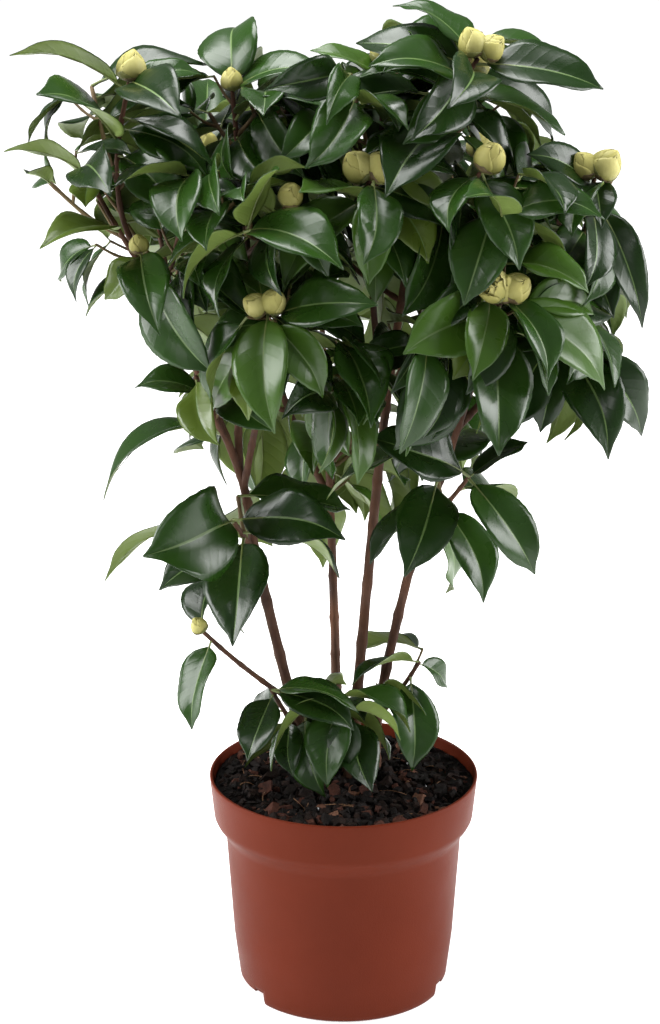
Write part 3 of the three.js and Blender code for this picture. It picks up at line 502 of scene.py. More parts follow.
def grow_fine_leaves(garden, mass):
    count = ceil(mass.leaves_wanted * fullness(mass) / len(mass.twigs)) + 1
    for twig in mass.twigs:
        start = mass.dice.roll(0, 360)
        for j in range(count):
            place_leaf(garden, mass, twig, 1 - 0.7 * j / count, start + GOLDEN * j, FINE_LEAF, keep_fine_leaf)


def close_twig_tips(garden, mass):
    """A twig whose tip is bare gets a small leaf there; a fine twig that stays bare is taken out."""
    for twig in list(mass.twigs):
        tip = on_path(twig.path, 1.0)
        if min(norm(grown.root - tip) for grown in mass.leaves + mass.buds) < BARE:
            continue
        start, made = mass.dice.roll(0, 360), 0
        for attempt in range(TIP_TRIES):
            size = FINE_LEAF * (TIP_SIZE - TIP_SHRINK * attempt / TIP_TRIES)
            leaf = seeded_leaf(mass, twig, TIP_SHARE, start + GOLDEN * attempt, size)
            made += keep_fine_leaf(garden, mass, leaf, attempt < TIP_TRIES / 2)
            if made == TIP_LEAVES:
                break
        if not made and twig.radius == FINE_TWIGS.radius:
            mass.twigs = [other for other in mass.twigs if other is not twig]


garden, limbs, masses = grow_crown()
front_buds = [bud.root + bud.way * bud.length / 2 for mass in masses for bud in mass.buds
              if bud.root[1] < FRONT_Y]
for grow in (grow_fine_twigs, grow_fine_leaves):
    for mass in masses:
        if fullness(mass):
            grow(garden, mass)
for mass in masses:
    close_twig_tips(garden, mass)


# ---- meshes
def link(name, data):
    obj = bpy.data.objects.new(name, data)
    bpy.context.scene.collection.objects.link(obj)
    return obj


class Bag:
    """Points and faces that become one piece."""

    def __init__(self):
        self.points, self.faces, self.looks, self.uvs, self.count = [], [], [], [], 0

    def add(self, points, faces, look, uv=None):
        points = np.asarray(points, float).reshape(-1, 3)
        for face in faces:
            self.faces.append(np.asarray(face) + self.count)
        looks = np.broadcast_to(look, sum(len(face) for face in faces))
        self.looks.append(looks)
        self.points.append(points)
        self.uvs.append(np.zeros((len(points), 2)) if uv is None else np.asarray(uv, float).reshape(-1, 2))
        self.count += len(points)

    def triangles(self):
        return sum(len(face) * (face.shape[1] - 2) for face in self.faces)

    def piece(self, name, materials, smooth=True, slot=None, replaces=()):
        mesh = bpy.data.meshes.new(name)
        points, uvs = np.vstack(self.points) * MM, np.vstack(self.uvs)
        corners = np.concatenate([face.ravel() for face in self.faces])
        sizes = np.concatenate([np.full(len(face), face.shape[1]) for face in self.faces])
        starts = np.concatenate([[0], np.cumsum(sizes)[:-1]])
        mesh.vertices.add(len(points))
        mesh.vertices.foreach_set("co", points.ravel())
        mesh.loops.add(len(corners))
        mesh.loops.foreach_set("vertex_index", corners.astype(np.int32))
        mesh.polygons.add(len(sizes))
        mesh.polygons.foreach_set("loop_start", starts.astype(np.int32))
        mesh.polygons.foreach_set("material_index", np.concatenate(self.looks).astype(np.int32))
        mesh.update(calc_edges=True)
        layer = mesh.uv_layers.new(name="along_and_across")
        layer.data.foreach_set("uv", uvs[corners].ravel())
        mesh.polygons.foreach_set("use_smooth", np.full(len(sizes), smooth))
        for material in materials:
            mesh.materials.append(material)
        mesh.validate()
        obj = link(name, mesh)
        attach(obj, "root")
        if replaces:
            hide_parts(*replaces)
        return obj


def grid_faces(rows, columns, wrap=False):
    r, c = np.meshgrid(np.arange(rows - 1), np.arange(columns if wrap else columns - 1), indexing="ij")
    a, b = r * columns + c, r * columns + (c + 1) % columns
    return np.stack([a, b, b + columns, a + columns], -1).reshape(-1, 4)


def rim_faces(rows, columns):
    """The strip that joins a grid's edge to the edge of the same grid below it."""
    rim = np.concatenate([np.arange(columns), np.arange(1, rows) * columns + columns - 1,
                          (rows - 1) * columns + np.arange(columns - 2, -1, -1),
                          np.arange(rows - 2, 0, -1) * columns])
    after, below = np.roll(rim, -1), rows * columns
    return np.stack([rim + below, after + below, after, rim], -1)


def add_sheet(bag, top, below, t, v, look, under, edge):
    """A thin closed sheet between two grids of points, at shares t along and -1 to 1 across."""
    faces, rim = grid_faces(*top.shape[:2]), rim_faces(*top.shape[:2])
    uv = np.stack(np.broadcast_arrays(t[:, None], v[None] * 0.5 + 0.5), -1).reshape(-1, 2)
    bag.add(np.vstack([top.reshape(-1, 3), below.reshape(-1, 3)]),
            [faces, faces[:, ::-1] + top.size // 3, rim],
            np.concatenate([np.broadcast_to(look, len(faces)), np.full(len(faces), under),
                            np.full(len(rim), edge)]), np.vstack([uv, uv]))


def fan(first, middle, sides, up):
    """Triangles between a ring that starts at point first and the point middle, facing up or down."""
    ring = first + np.arange(sides), first + (np.arange(sides) + 1) % sides
    return np.stack([np.full(sides, middle), *(ring if up else ring[::-1])], -1)



def frames_along(points):
    """Two directions square to the path at each point, with the least twist along it."""
    way = unit(np.gradient(points, axis=0))
    right = np.zeros_like(way)
    right[0] = across(way[0])[0]
    for i in range(1, len(way)):
        right[i] = unit(right[i - 1] - way[i] * (way[i] @ right[i - 1]))
    return right, np.cross(way, right)


def tube(points, radii, sides):
    """A tube's points in rings; radii may differ round each ring."""
    right, up = frames_along(points)
    turn = 2 * pi * np.arange(sides) / sides
    radii = np.broadcast_to(np.asarray(radii, float).reshape(len(points), -1), (len(points), sides))
    ring = right[:, None] * np.cos(turn)[None, :, None] + up[:, None] * np.sin(turn)[None, :, None]
    return points[:, None] + ring * radii[..., None]


def add_tube(bag, points, radii, sides, look):
    rings = tube(points, radii, sides)
    n = len(points)
    end = points[-1] + unit(points[-1] - points[-2]) * float(np.mean(radii[-1])) * 0.6
    all_points = np.vstack([rings.reshape(-1, 3), end[None]])
    last = (n - 1) * sides
    cap = np.array([[last + j, last + (j + 1) % sides, n * sides] for j in range(sides)])
    along = np.repeat(np.linspace(0, 1, n), sides)
    round_it = np.tile(np.arange(sides) / sides, n)
    uv = np.vstack([np.stack([along, round_it], -1), [[1, 0.5]]])
    bag.add(all_points, [grid_faces(n, sides, wrap=True), cap], look, uv)


# ---- leaves
ROWS, COLUMNS = 23, np.array([-1, -0.8, -0.52, -0.24, -0.035, 0.035, 0.24, 0.52, 0.8, 1.0])
THICK, TOOTH, THINNEST, GROOVE = 0.45, 0.982, 0.022, 0.25
TIP_DROP, TIP_DROP_FROM, TWIST, SWAY, WAVE = 0.12, 0.62, 0.55, 0.06, (0.01, 0.034)
SPINE_ROWS = [1, 2, 4, 8, 13, 18]
SPINE_RADII = np.array([1.25, 1.05, 0.95, 0.95, 0.95, 0.85, 0.7, 0.5, 0.32, 0.18])
TINTS, TINT_FROM = ["leaf_dark", "leaf_green", "leaf_fresh", "leaf_olive"], (0.42, 0.72, 0.9)
UNDER, RIB, STALKS = len(TINTS), len(TINTS) + 1, len(TINTS) + 2
# The first names the masses whose far leaves are tinted olive: painted backlight, light shining through the
# thin leaf.
BACKLIT_OLIVE_MASSES, PIECE_TRIANGLES = ("far_left", "left_side"), 150000


def add_leaf(bag, leaf, rng):
    forward, side, face = leaf_frame(leaf)
    arch, fold, length = radians(leaf.arch), radians(leaf.fold), leaf.length
    t, v = np.linspace(0, 1, ROWS)[:, None, None], COLUMNS[None, :, None]
    u = STALK * 0.9 + (1 - STALK * 0.9) * t
    teeth = np.where(np.arange(ROWS) % 2 == 0, 1.0, TOOTH)[:, None, None]
    drawn_out = 1 - 0.3 * np.exp(-((t - 0.93) / 0.055) ** 2)
    half = leaf.width * np.maximum(blade(u) * teeth * drawn_out, THINNEST)
    run, drop = length * np.sin(arch * u) / arch, length * (1 - np.cos(arch * u)) / arch
    tip_share = np.clip((t - TIP_DROP_FROM) / (1 - TIP_DROP_FROM), 0, 1)
    drop = drop + length * rng.uniform(0.0, TIP_DROP) * tip_share ** 2
    up = face * np.cos(arch * u) + forward * np.sin(arch * u)
    twist = rng.uniform(-TWIST, TWIST) * np.sin(pi * t)
    side, up = side * np.cos(twist) + up * np.sin(twist), up * np.cos(twist) - side * np.sin(twist)
    sway = side * length * rng.uniform(-SWAY, SWAY) * np.sin(pi * u ** 1.6)
    far = np.abs(v)
    wave = length * rng.uniform(*WAVE) * np.sin(
        2 * pi * (rng.uniform(0.9, 2.0) * t + rng.uniform(0, 1) + 0.5 * (v > 0)))
    rise = half * sin(fold) * (1.25 * far - 0.35 * far ** 3) + wave * far ** 3 * np.minimum(1, half / 8)
    groove = np.where(far < 0.1, -GROOVE, 0.0)
    top = (leaf.root + forward * run - face * drop + sway + side * (v * half * cos(fold))
           + up * (rise + groove))
    below = top - up * THICK
    c = COLUMNS.size
    look = np.where(np.tile(np.arange(c - 1), ROWS - 1) == (c - 2) // 2, RIB, leaf.tint)
    add_sheet(bag, top, below, t[:, 0, 0], COLUMNS, look, UNDER, leaf.tint)
    s = np.array([0, 0.3, 0.6, 0.85])
    stalk = leaf_point(leaf, s * STALK, 0) - face * (THICK * s)[:, None]
    middle = (below[:, c // 2 - 1] + below[:, c // 2]) / 2
    add_tube(bag, np.vstack([stalk, middle[SPINE_ROWS]]), SPINE_RADII * (length / LEAF), 5, STALKS)


def dress_leaves(materials):
    rng = np.random.default_rng(11)
    bag, names, index = Bag(), [], 1
    for mass in masses:
        spray = rng.random()
        for leaf in mass.leaves:
            pick = 0.6 * rng.random() + 0.4 * spray
            leaf.tint = sum(pick >= start for start in TINT_FROM)
            # Far leaves of these masses take the olive tint on top: painted backlight, light shining through
            # the thin leaf.
            if leaf.far and mass.name in BACKLIT_OLIVE_MASSES:
                leaf.tint = TINTS.index("leaf_olive")
            add_leaf(bag, leaf, rng)
        names.append(f"leaves_{mass.name}")
        if bag.triangles() > PIECE_TRIANGLES or mass is masses[-1]:
            bag.piece(f"foliage_{index}", materials, slot="leaves", replaces=names)
            bag, names, index = Bag(), [], index + 1


# ---- buds
PETAL_THICK, SHELL_POINTS = 0.25, 9
SMALL_BUDS = {"low_twig": 0.6, "left_side": 0.7, "top_left_inner": 0.8, "front_left": 0.88,
              "inner_left": 0.85}
PETAL, PETAL_PALE, SCALE, SCALE_BROWN = range(4)


def add_shell(bag, bud, start, low, high, wide, lift, look, curl=0.0, ruffle=0.0):
    """One scale or petal: a curved patch that hugs the bud, from share low to high."""
    first, second = across(bud.way)
    t, w = np.linspace(0, 1, SHELL_POINTS)[:, None], np.linspace(-1, 1, SHELL_POINTS)[None]
    outline = np.clip(1 - t ** 4, 0.02, 1) ** 0.6 * (0.62 + 0.38 * np.minimum(1, t * 2.2))
    share = low + (high - low) * t * (1 - 0.12 * w ** 2)
    turn = start + w * wide * outline
    ripple = ruffle * t ** 2 * np.sin(7 * w + start)
    radius = bud_radius(share) * bud.length + lift + curl * t ** 3 + ripple
    outward = first * np.cos(turn)[..., None] + second * np.sin(turn)[..., None]
    outer = bud.root + bud.way * (share * bud.length)[..., None] + outward * radius[..., None]
    add_sheet(bag, outer, outer - outward * PETAL_THICK, t[:, 0], w[0], look, look, look)


def bud_radius(t):
    """An egg with a drawn-up point, its widest below the middle."""
    t = np.clip(t, 0, 1)
    return t ** 0.46 * (1 - t) ** 0.74 * (1 - 0.12 * t ** 3) + 0.006


def add_bud(bag, bud, rng):
    t = np.concatenate([[0.01, 0.03, 0.06], np.linspace(0.1, 0.9, 11), [0.94, 0.97, 0.99]])
    core = bud.root + bud.way * (t * bud.length)[:, None]
    turn = rng.uniform(0, 6.28)
    if bud.opening:
        add_tube(bag, core[:11], bud_radius(t[:11]) * bud.length * 0.9, 24, PETAL_PALE)
        for i in range(13):
            inner = i // 5
            add_shell(bag, bud, turn + 2.4 * i, 0.1, 0.84 + 0.07 * inner, 0.95 - 0.15 * inner,
                      0.5 - 1.1 * inner, i % 2, rng.uniform(1.2, 3.4), ruffle=rng.uniform(0.5, 1.1))
    else:
        add_tube(bag, core, bud_radius(t) * bud.length * 0.98, 24, PETAL)
        for i in range(4):
            add_shell(bag, bud, turn + 2.2 * i, 0.04, 0.985 - 0.02 * i, 1.3, 0.06 + 0.11 * i,
                      PETAL if i % 2 else PETAL_PALE)
    for i in range(6):
        add_shell(bag, bud, turn + 1 + 2.4 * i, -0.01, 0.42 - 0.045 * i, 0.9, 0.5 + 0.1 * i,
                  SCALE if i % 4 else SCALE_BROWN)


def dress_buds(materials):
    rng = np.random.default_rng(9)
    bag = Bag()
    for mass in masses:
        for order, bud in enumerate(mass.buds):
            bud.opening = mass.name == "front_right" and order == 0
            bud.length *= SMALL_BUDS.get(mass.name, 1)
            add_bud(bag, bud, rng)
    bag.piece("flower_buds", materials, slot="buds")


# ---- twigs and limbs
def noise_round(rng, sides, rows, lumps):
    """A seeded sum of waves round and along a limb."""
    turn = 2 * pi * np.arange(sides)[None] / sides
    along = np.arange(rows)[:, None]
    total = np.zeros((rows, sides))
    for _ in range(lumps):
        k, f = rng.integers(1, 9), rng.uniform(0.05, 0.7)
        total += np.sin(k * turn + f * along + rng.uniform(0, 6.28)) / (1 + 0.35 * k)
    return total / np.abs(total).max()


def dress_limbs(material):
    rng = np.random.default_rng(5)
    for name, limb in limbs.items():
        long = norm(np.diff(on_path(limb.path, np.linspace(0, 1, 60)), axis=0), axis=1).sum()
        rows = int(long / 2.2)
        t = np.linspace(0, 1, rows)
        points = on_path(limb.path, t)
        radius = limb_radius(limb, t)[:, None] * (1 + 0.085 * noise_round(rng, 20, rows, 16))
        node = 1 + 0.16 * np.exp(-((np.arange(rows) % 12 - 6) / 1.1) ** 2)
        radius = radius * node[:, None]
        if limb.flare > 1:
            points = np.vstack([points[0] - (points[1] - points[0]), points])
            radius = np.vstack([radius[0], radius])
        bag = Bag()
        add_tube(bag, points, radius, 20, 0)
        bag.piece(f"bark_{name}", [material], slot="bark", replaces=[name])


def dress_twigs(materials):
    rng = np.random.default_rng(6)
    bag = Bag()
    for mass in masses:
        for order, twig in enumerate(mass.twigs):
            rows = 22 if order == 0 else 14
            t = np.linspace(0, 1, rows)
            low, high = twig.radius
            radius = (low + (high - low) * t)[:, None] * 0.86 * (1 + 0.06 * noise_round(rng, 8, rows, 8))
            radius = radius * (1 + 0.18 * (np.arange(rows) % 5 == 2))[:, None]
            add_tube(bag, on_path(twig.path, t), radius, 8, 0 if order == 0 else 1)
    bag.piece("twigs", materials, slot="bark")


# ---- pot
def line(start, end, shares):
    return [(start[0] + (end[0] - start[0]) * f, start[1] + (end[1] - start[1]) * f) for f in shares]


def pot_profile():
    """Radius and height from the middle of the underside, up the outside and down to the floor."""
    flare, wall, neck = (FOOT_FLARE_R, FOOT_FLARE_Z), (WALL_R, WALL_Z), (NECK_R, NECK_Z)
    steps = np.arange(1, 9) / 8
    outside = [(0, 0), (FOOT_R, 0), (FOOT_R + 1.4, 0.5), (FOOT_FLARE_R - 0.8, 2), flare]
    outside += line(flare, wall, steps) + line(wall, neck, steps)
    outside += [(NECK_R + 0.5, NECK_Z + 2), (NECK_R + 2, NECK_Z + 5), (NECK_R + 4.4, NECK_Z + 8.4),
                (NECK_R + 6.6, NECK_Z + 11), (BAND_R - 0.9, BAND_Z - 2), (BAND_R - 0.2, BAND_Z - 0.4)]
    outside += line((BAND_R, BAND_Z + 1), (RIM_R, RIM_Z - 1), np.arange(6) / 6)
    outside += [(RIM_R - 0.05, RIM_Z - 1.2), (RIM_R - 0.2, RIM_Z - 0.45), (RIM_R - 0.6, RIM_Z - 0.05),
                (RIM_R - 1.2, RIM_Z), (RIM_R - RIM_WALL + 0.2, RIM_Z - 0.25), (RIM_R - RIM_WALL, RIM_Z - 1)]
    inside = [(BAND_R - RIM_WALL, BAND_Z), (NECK_R - BODY_WALL, NECK_Z), (WALL_R - BODY_WALL, WALL_Z),
              (WALL_R - 7, FLOOR_Z), (0, FLOOR_Z)]
    return np.array(outside + inside, float)


def cutter(start, end, inner, low, high):
    """A block between two angles in degrees, from radius inner to outside the pot's wall."""
    steps, outer = max(2, ceil((end - start) / 6)), WALL_R + 2
    angle = np.radians(np.linspace(start, end, steps + 1))
    ring = [np.stack([r * np.sin(angle), -r * np.cos(angle), np.full(steps + 1, z)], -1)
            for r, z in ((inner, low), (outer, low), (outer, high), (inner, high))]
    n = 4 * steps
    bag = Bag()
    bag.add(np.stack(ring, 1), [grid_faces(steps + 1, 4, wrap=True)[:, ::-1],
                                np.array([[0, 1, 2, 3], [n + 3, n + 2, n + 1, n]])], 0)
    return bag


def dress_pot(material):
    body, sides = pot_profile()[1:-1], 180
    turn = 2 * pi * np.arange(sides) / sides
    points = np.stack([body[:, :1] * np.sin(turn), -body[:, :1] * np.cos(turn),
                       np.broadcast_to(body[:, 1:], (len(body), sides))], -1).reshape(-1, 3)
    n = len(points)
    bag = Bag()
    bag.add(np.vstack([points, [[0, 0, 0], [0, 0, FLOOR_Z]]]),
            [grid_faces(len(body), sides, wrap=True), fan(0, n, sides, up=False),
             fan(n - sides, n + 1, sides, up=True)], 0)
    pot = bag.piece("pot_moulded", [material], slot="pot_plastic", replaces=["pot"])
    slot = degrees(SLOT_WIDE / FOOT_R)
    for half in (0, 180):
        end = FOOT_MIDDLE + FOOT_ARC / 2 + half
        start = FOOT_MIDDLE - FOOT_ARC / 2 + 180 + half
        carve(pot, cutter(end, start, NOTCH_R, -1, NOTCH_Z))
        carve(pot, cutter(end, end + slot, SLOT_R, 1, SLOT_Z))
        carve(pot, cutter(start - slot, start, SLOT_R, 1, SLOT_Z))


def carve(target, bag):
    """Cuts the closed shape in the bag out of target."""
    mesh = bpy.data.meshes.new("cut")
    points = np.vstack(bag.points) * MM
    mesh.from_pydata(points.tolist(), [], [face.tolist() for faces in bag.faces for face in faces])
    mesh.update()
    tool = link("cut", mesh)
    modifier = target.modifiers.new("cut", "BOOLEAN")
    modifier.operation, modifier.solver, modifier.object = "DIFFERENCE", "EXACT", tool
    graph = bpy.context.evaluated_depsgraph_get()
    carved = bpy.data.meshes.new_from_object(target.evaluated_get(graph))
    target.modifiers.clear()
    target.data = carved
    bpy.data.objects.remove(tool)


# ---- potting soil
CHIPS, LARGE_CHIPS, LARGE_CHIP, FIBRES = 1700, 26, 7.5, 46
CHIP_FROM, LARGE_CHIP_FROM = (0.6, 0.9, 0.985), (0.3, 0.75)
GRAINS = ((-34, -52), (-18, -50), (46, 30), (-20, 62), (58, -12), (12, 66))
BED_DEPTH = 12


def soil_height(x, y):
    share = np.clip((np.hypot(x, y) - SOIL_FLAT_R) / 25, 0, 1)
    uneven = 0.5 + 0.3 * np.sin(x * 0.07 + 1) + 0.3 * np.sin(y * 0.09 - x * 0.05)
    return SOIL_Z + share * np.clip(uneven, 0, 1) * SOIL_HEAP


def dress_soil(materials):
    rng = np.random.default_rng(8)
    wall = BAND_R + (RIM_R - BAND_R) * (SOIL_Z - BAND_Z) / (RIM_Z - BAND_Z) - RIM_WALL - 0.4
    sides, rows = 120, 40
    r = np.linspace(0.5, wall, rows)[:, None]
    turn = 2 * pi * np.arange(sides)[None] / sides
    x, y = r * np.cos(turn), r * np.sin(turn)
    rough = sum(np.sin(x * a + y * b + c) for a, b, c in rng.uniform(-0.9, 0.9, (9, 3))) / 5
    z = soil_height(x, y) - 1.2 + 0.8 * rough
    skirt = np.stack([x[-1], y[-1], np.full(sides, SOIL_Z - BED_DEPTH)], -1)
    middle = [[0, 0, z[0].mean()], [0, 0, SOIL_Z - BED_DEPTH]]
    n = (rows + 1) * sides
    bed, chips, fibres, grains = Bag(), Bag(), Bag(), Bag()
    bed.add(np.vstack([np.stack([x, y, z], -1).reshape(-1, 3), skirt, middle]),
            [grid_faces(rows + 1, sides, wrap=True), fan(0, n, sides, up=False),
             fan(rows * sides, n + 1, sides, up=True)], 0)
    bed.piece("soil_bed", [materials[0]], slot="soil", replaces=["soil"])
    for _ in range(CHIPS):
        add_chip(chips, rng, wall, 2 + 5.5 * rng.random() ** 2.2)
    for _ in range(LARGE_CHIPS):
        add_chip(chips, rng, wall, rng.uniform(7, 11))
    chips.piece("bark_chips", materials, smooth=False, slot="soil")
    for _ in range(FIBRES):
        add_fibre(fibres, rng, wall)
    fibres.piece("soil_fibres", [materials[5]], slot="soil")
    for x, y in GRAINS:
        add_grain(grains, rng, x, y)
    grains.piece("perlite_grains", [materials[6]], slot="soil")


def rotation(a, b, angle):
    """A turn in the plane of axes a and b."""
    made = np.eye(3)
    made[a, a] = made[b, b] = cos(angle)
    made[a, b], made[b, a] = -sin(angle), sin(angle)
    return made


def add_chip(bag, rng, wall, size):
    away = (wall - 1.0 - size) * math.sqrt(rng.random())
    where = rng.uniform(0, 2 * pi)
    x, y = away * cos(where), away * sin(where)
    sides = 6
    turn = 2 * pi * (np.arange(sides) + rng.uniform(-0.28, 0.28, sides)) / sides
    wide, thick = size * rng.uniform(0.4, 0.75), size * rng.uniform(0.16, 0.42)
    outline = np.stack([size * np.cos(turn), wide * np.sin(turn), np.zeros(sides)], -1)
    outline *= rng.uniform(0.8, 1.1, (sides, 1))
    top = outline * rng.uniform(0.7, 0.92) + [0, 0, thick]
    top[:, 2] += rng.uniform(-0.25, 0.25, sides) * thick
    points = np.vstack([outline - [0, 0, thick], top])
    lean, spin = rng.normal(0, 0.38, 2), rng.uniform(0, 2 * pi)
    tilt = rotation(1, 2, lean[0]) @ rotation(2, 0, lean[1])
    points = points @ tilt.T @ rotation(0, 1, spin).T
    points += [x, y, soil_height(x, y) + rng.uniform(-1.5, 2.2)]
    j = np.arange(sides)
    walls = np.stack([j, (j + 1) % sides, sides + (j + 1) % sides, sides + j], -1)
    first, shares = (2, LARGE_CHIP_FROM) if size > LARGE_CHIP else (1, CHIP_FROM)
    pick = rng.random()
    bag.add(points, [walls, np.stack([j[::-1], sides + j])], first + sum(pick >= start for start in shares))


def add_fibre(bag, rng, wall):
    long = rng.uniform(9, 30)
    where = rng.uniform(0, 2 * pi) if rng.random() < 0.45 else rng.normal(2.3, 0.5)
    away = (wall - long * 0.6) * math.sqrt(rng.uniform(0.3, 1))
    t = np.linspace(-0.5, 0.5, 9)
    spin, bend = rng.uniform(0, 6.28), rng.uniform(-0.5, 0.5)
    x = away * cos(where) + long * (t * cos(spin) - bend * t * t * sin(spin))
    y = away * sin(where) + long * (t * sin(spin) + bend * t * t * cos(spin))
    z = soil_height(x, y) + 2.6 + rng.uniform(-0.3, 0.9) - 2.0 * (2 * t) ** 2
    add_tube(bag, np.stack([x, y, z], -1), np.linspace(0.5, 0.25, 9) * rng.uniform(0.6, 1.2), 5, 0)


def add_grain(bag, rng, x, y):
    sides = 7
    turn = 2 * pi * np.arange(sides)[None] / sides
    high = np.array([-0.8, -0.3, 0.4, 0.9])[:, None]
    wide = np.sqrt(1 - high ** 2) * rng.uniform(0.7, 1.1, (4, sides))
    size = rng.uniform(0.9, 1.5)
    z = soil_height(x, y) + 2.2
    ball = np.stack([x + size * wide * np.cos(turn), y + size * wide * np.sin(turn),
                     z + size * high + 0 * turn], -1)
    caps = np.stack([np.arange(sides)[::-1], 3 * sides + np.arange(sides)])
    bag.add(ball, [grid_faces(4, sides, wrap=True), caps], 0)


# ---- materials
def put(target, **inputs):
    """Sets a node's inputs, with _ for the space in a name."""
    for key, value in inputs.items():
        target.inputs[key.replace("_", " ")].default_value = value


def new_material(name, color, roughness, **inputs):
    material = bpy.data.materials.new(name)
    material.use_nodes = True
    shader = material.node_tree.nodes["Principled BSDF"]
    put(shader, Base_Color=(*color, 1), Roughness=roughness, **inputs)
    return material, material.node_tree, shader


def node(tree, kind, **settings):
    made = tree.nodes.new(kind)
    for key, value in settings.items():
        setattr(made, key, value)
    return made


def calc(tree, operation, a, b=None):
    made = node(tree, "ShaderNodeMath", operation=operation)
    for socket, value in zip(made.inputs, (a, b)):
        if value is None:
            continue
        if isinstance(value, (int, float)):
            socket.default_value = value
        else:
            tree.links.new(value, socket)
    return made.outputs[0]


def noise(tree, scale, detail=4.0, rough=0.55, stretch=None):
    place = node(tree, "ShaderNodeTexCoord").outputs["Object"]
    if stretch:
        mapping = node(tree, "ShaderNodeMapping")
        put(mapping, Scale=stretch)
        tree.links.new(place, mapping.inputs["Vector"])
        place = mapping.outputs["Vector"]
    made = node(tree, "ShaderNodeTexNoise")
    put(made, Scale=scale, Detail=detail, Roughness=rough)
    tree.links.new(place, made.inputs["Vector"])
    return made.outputs["Fac"]


def tint(tree, shader, factor, low, high, start=0.3, end=0.7):
    ramp = node(tree, "ShaderNodeValToRGB")
    for stop, place, color in zip(ramp.color_ramp.elements, (start, end), (low, high)):
        stop.position, stop.color = place, (*color, 1)
    tree.links.new(factor, ramp.inputs["Fac"])
    tree.links.new(ramp.outputs["Color"], shader.inputs["Base Color"])


def vary_roughness(tree, shader, factor, low, high):
    spread = node(tree, "ShaderNodeMapRange")
    put(spread, To_Min=low, To_Max=high, From_Min=0.3, From_Max=0.7)
    tree.links.new(factor, spread.inputs["Value"])
    tree.links.new(spread.outputs["Result"], shader.inputs["Roughness"])


def bump(tree, shader, height, distance):
    made = node(tree, "ShaderNodeBump")
    put(made, Distance=distance, Strength=1.0)
    tree.links.new(height, made.inputs["Height"])
    tree.links.new(made.outputs["Normal"], shader.inputs["Normal"])


def uv_shares(tree):
    """The shares along and across that the UV map holds."""
    uv = node(tree, "ShaderNodeUVMap", uv_map="along_and_across").outputs["UV"]
    split = node(tree, "ShaderNodeSeparateXYZ")
    tree.links.new(uv, split.inputs["Vector"])
    return split.outputs["X"], split.outputs["Y"]


def shade(color, share):
    return tuple(c * share for c in color)


def leaf_material(name, color, roughness, depth, below=False):
    """A leaf's face: fine side veins run from the midrib forward to the edge."""
    material, tree, shader = new_material(name, color, roughness, Specular_IOR_Level=0.36)
    x, y = uv_shares(tree)
    far = calc(tree, "ABSOLUTE", calc(tree, "SUBTRACT", y, 0.5))
    along = calc(tree, "SUBTRACT", calc(tree, "MULTIPLY", x, 8.5),
                      calc(tree, "MULTIPLY", far, 3.4))
    saw = calc(tree, "ABSOLUTE", calc(tree, "SUBTRACT", calc(tree, "FRACT", along), 0.5))
    quilt = calc(tree, "POWER", calc(tree, "MULTIPLY", saw, 2.0), 3.0)
    height = calc(tree, "ADD", calc(tree, "MULTIPLY", quilt, 1.0 if below else -1.0),
                       calc(tree, "MULTIPLY", noise(tree, 620, 3), 0.5))
    bump(tree, shader, height, depth)
    vary_roughness(tree, shader, noise(tree, 34, 3), roughness * 0.78, roughness * 1.3)
    tint(tree, shader, noise(tree, 16, 2), shade(color, 0.82), shade(color, 1.22), 0.25, 0.75)
    return material


def petal_shade(tree):
    """0 at a petal's foot to 1 at its tip, with a little noise. It runs the petal's colour from a dark olive
    foot to a pale tip: partly the bud's own green base, partly painted shade where the light from above falls
    less.
    """
    along = calc(tree, "MULTIPLY", uv_shares(tree)[0], 0.75)
    return calc(tree, "ADD", along, calc(tree, "MULTIPLY", noise(tree, 120, 3), 0.35))


def surface(name, color, roughness, low, high, paint, relief, depth, specular=0.5, worn=None):
    """Colour from low to high by one noise, or up a petal, and relief by another. worn: a noise and a
    range for the roughness. Each noise is what noise() takes after the tree."""
    material, tree, shader = new_material(name, color, roughness, Specular_IOR_Level=specular)
    if paint:
        tint(tree, shader, noise(tree, *paint), low, high)
    else:
        # Petals darker at the foot: partly their own green base, partly painted shade from light falling from
        # above.
        tint(tree, shader, petal_shade(tree), low, high, 0.12, 0.85)
    bump(tree, shader, noise(tree, *relief), depth)
    if worn:
        vary_roughness(tree, shader, noise(tree, *worn[0]), *worn[1])
    return material


LEAF_RELIEF, UNDER_RELIEF = 0.00006, 0.00012
LEAVES = {
    "leaf_dark": ((0.0060, 0.0205, 0.0022), 0.27, LEAF_RELIEF),
    "leaf_green": ((0.0130, 0.040, 0.0040), 0.27, LEAF_RELIEF),
    "leaf_fresh": ((0.032, 0.075, 0.0075), 0.3, LEAF_RELIEF),
    # leaf_olive: a random tone on some leaves, and painted backlight on the far leaves of the left masses.
    "leaf_olive": ((0.060, 0.094, 0.0105), 0.32, LEAF_RELIEF),
    "leaf_under": ((0.115, 0.165, 0.032), 0.5, UNDER_RELIEF, True),
}
RIBS = {"leaf_rib": ((0.075, 0.125, 0.035), 0.4), "leaf_stalk": ((0.13, 0.16, 0.045), 0.45)}
PETAL_RELIEF, SCALE_RELIEF = (260, 4, 0.55, (1, 1, 0.3)), (420, 4)
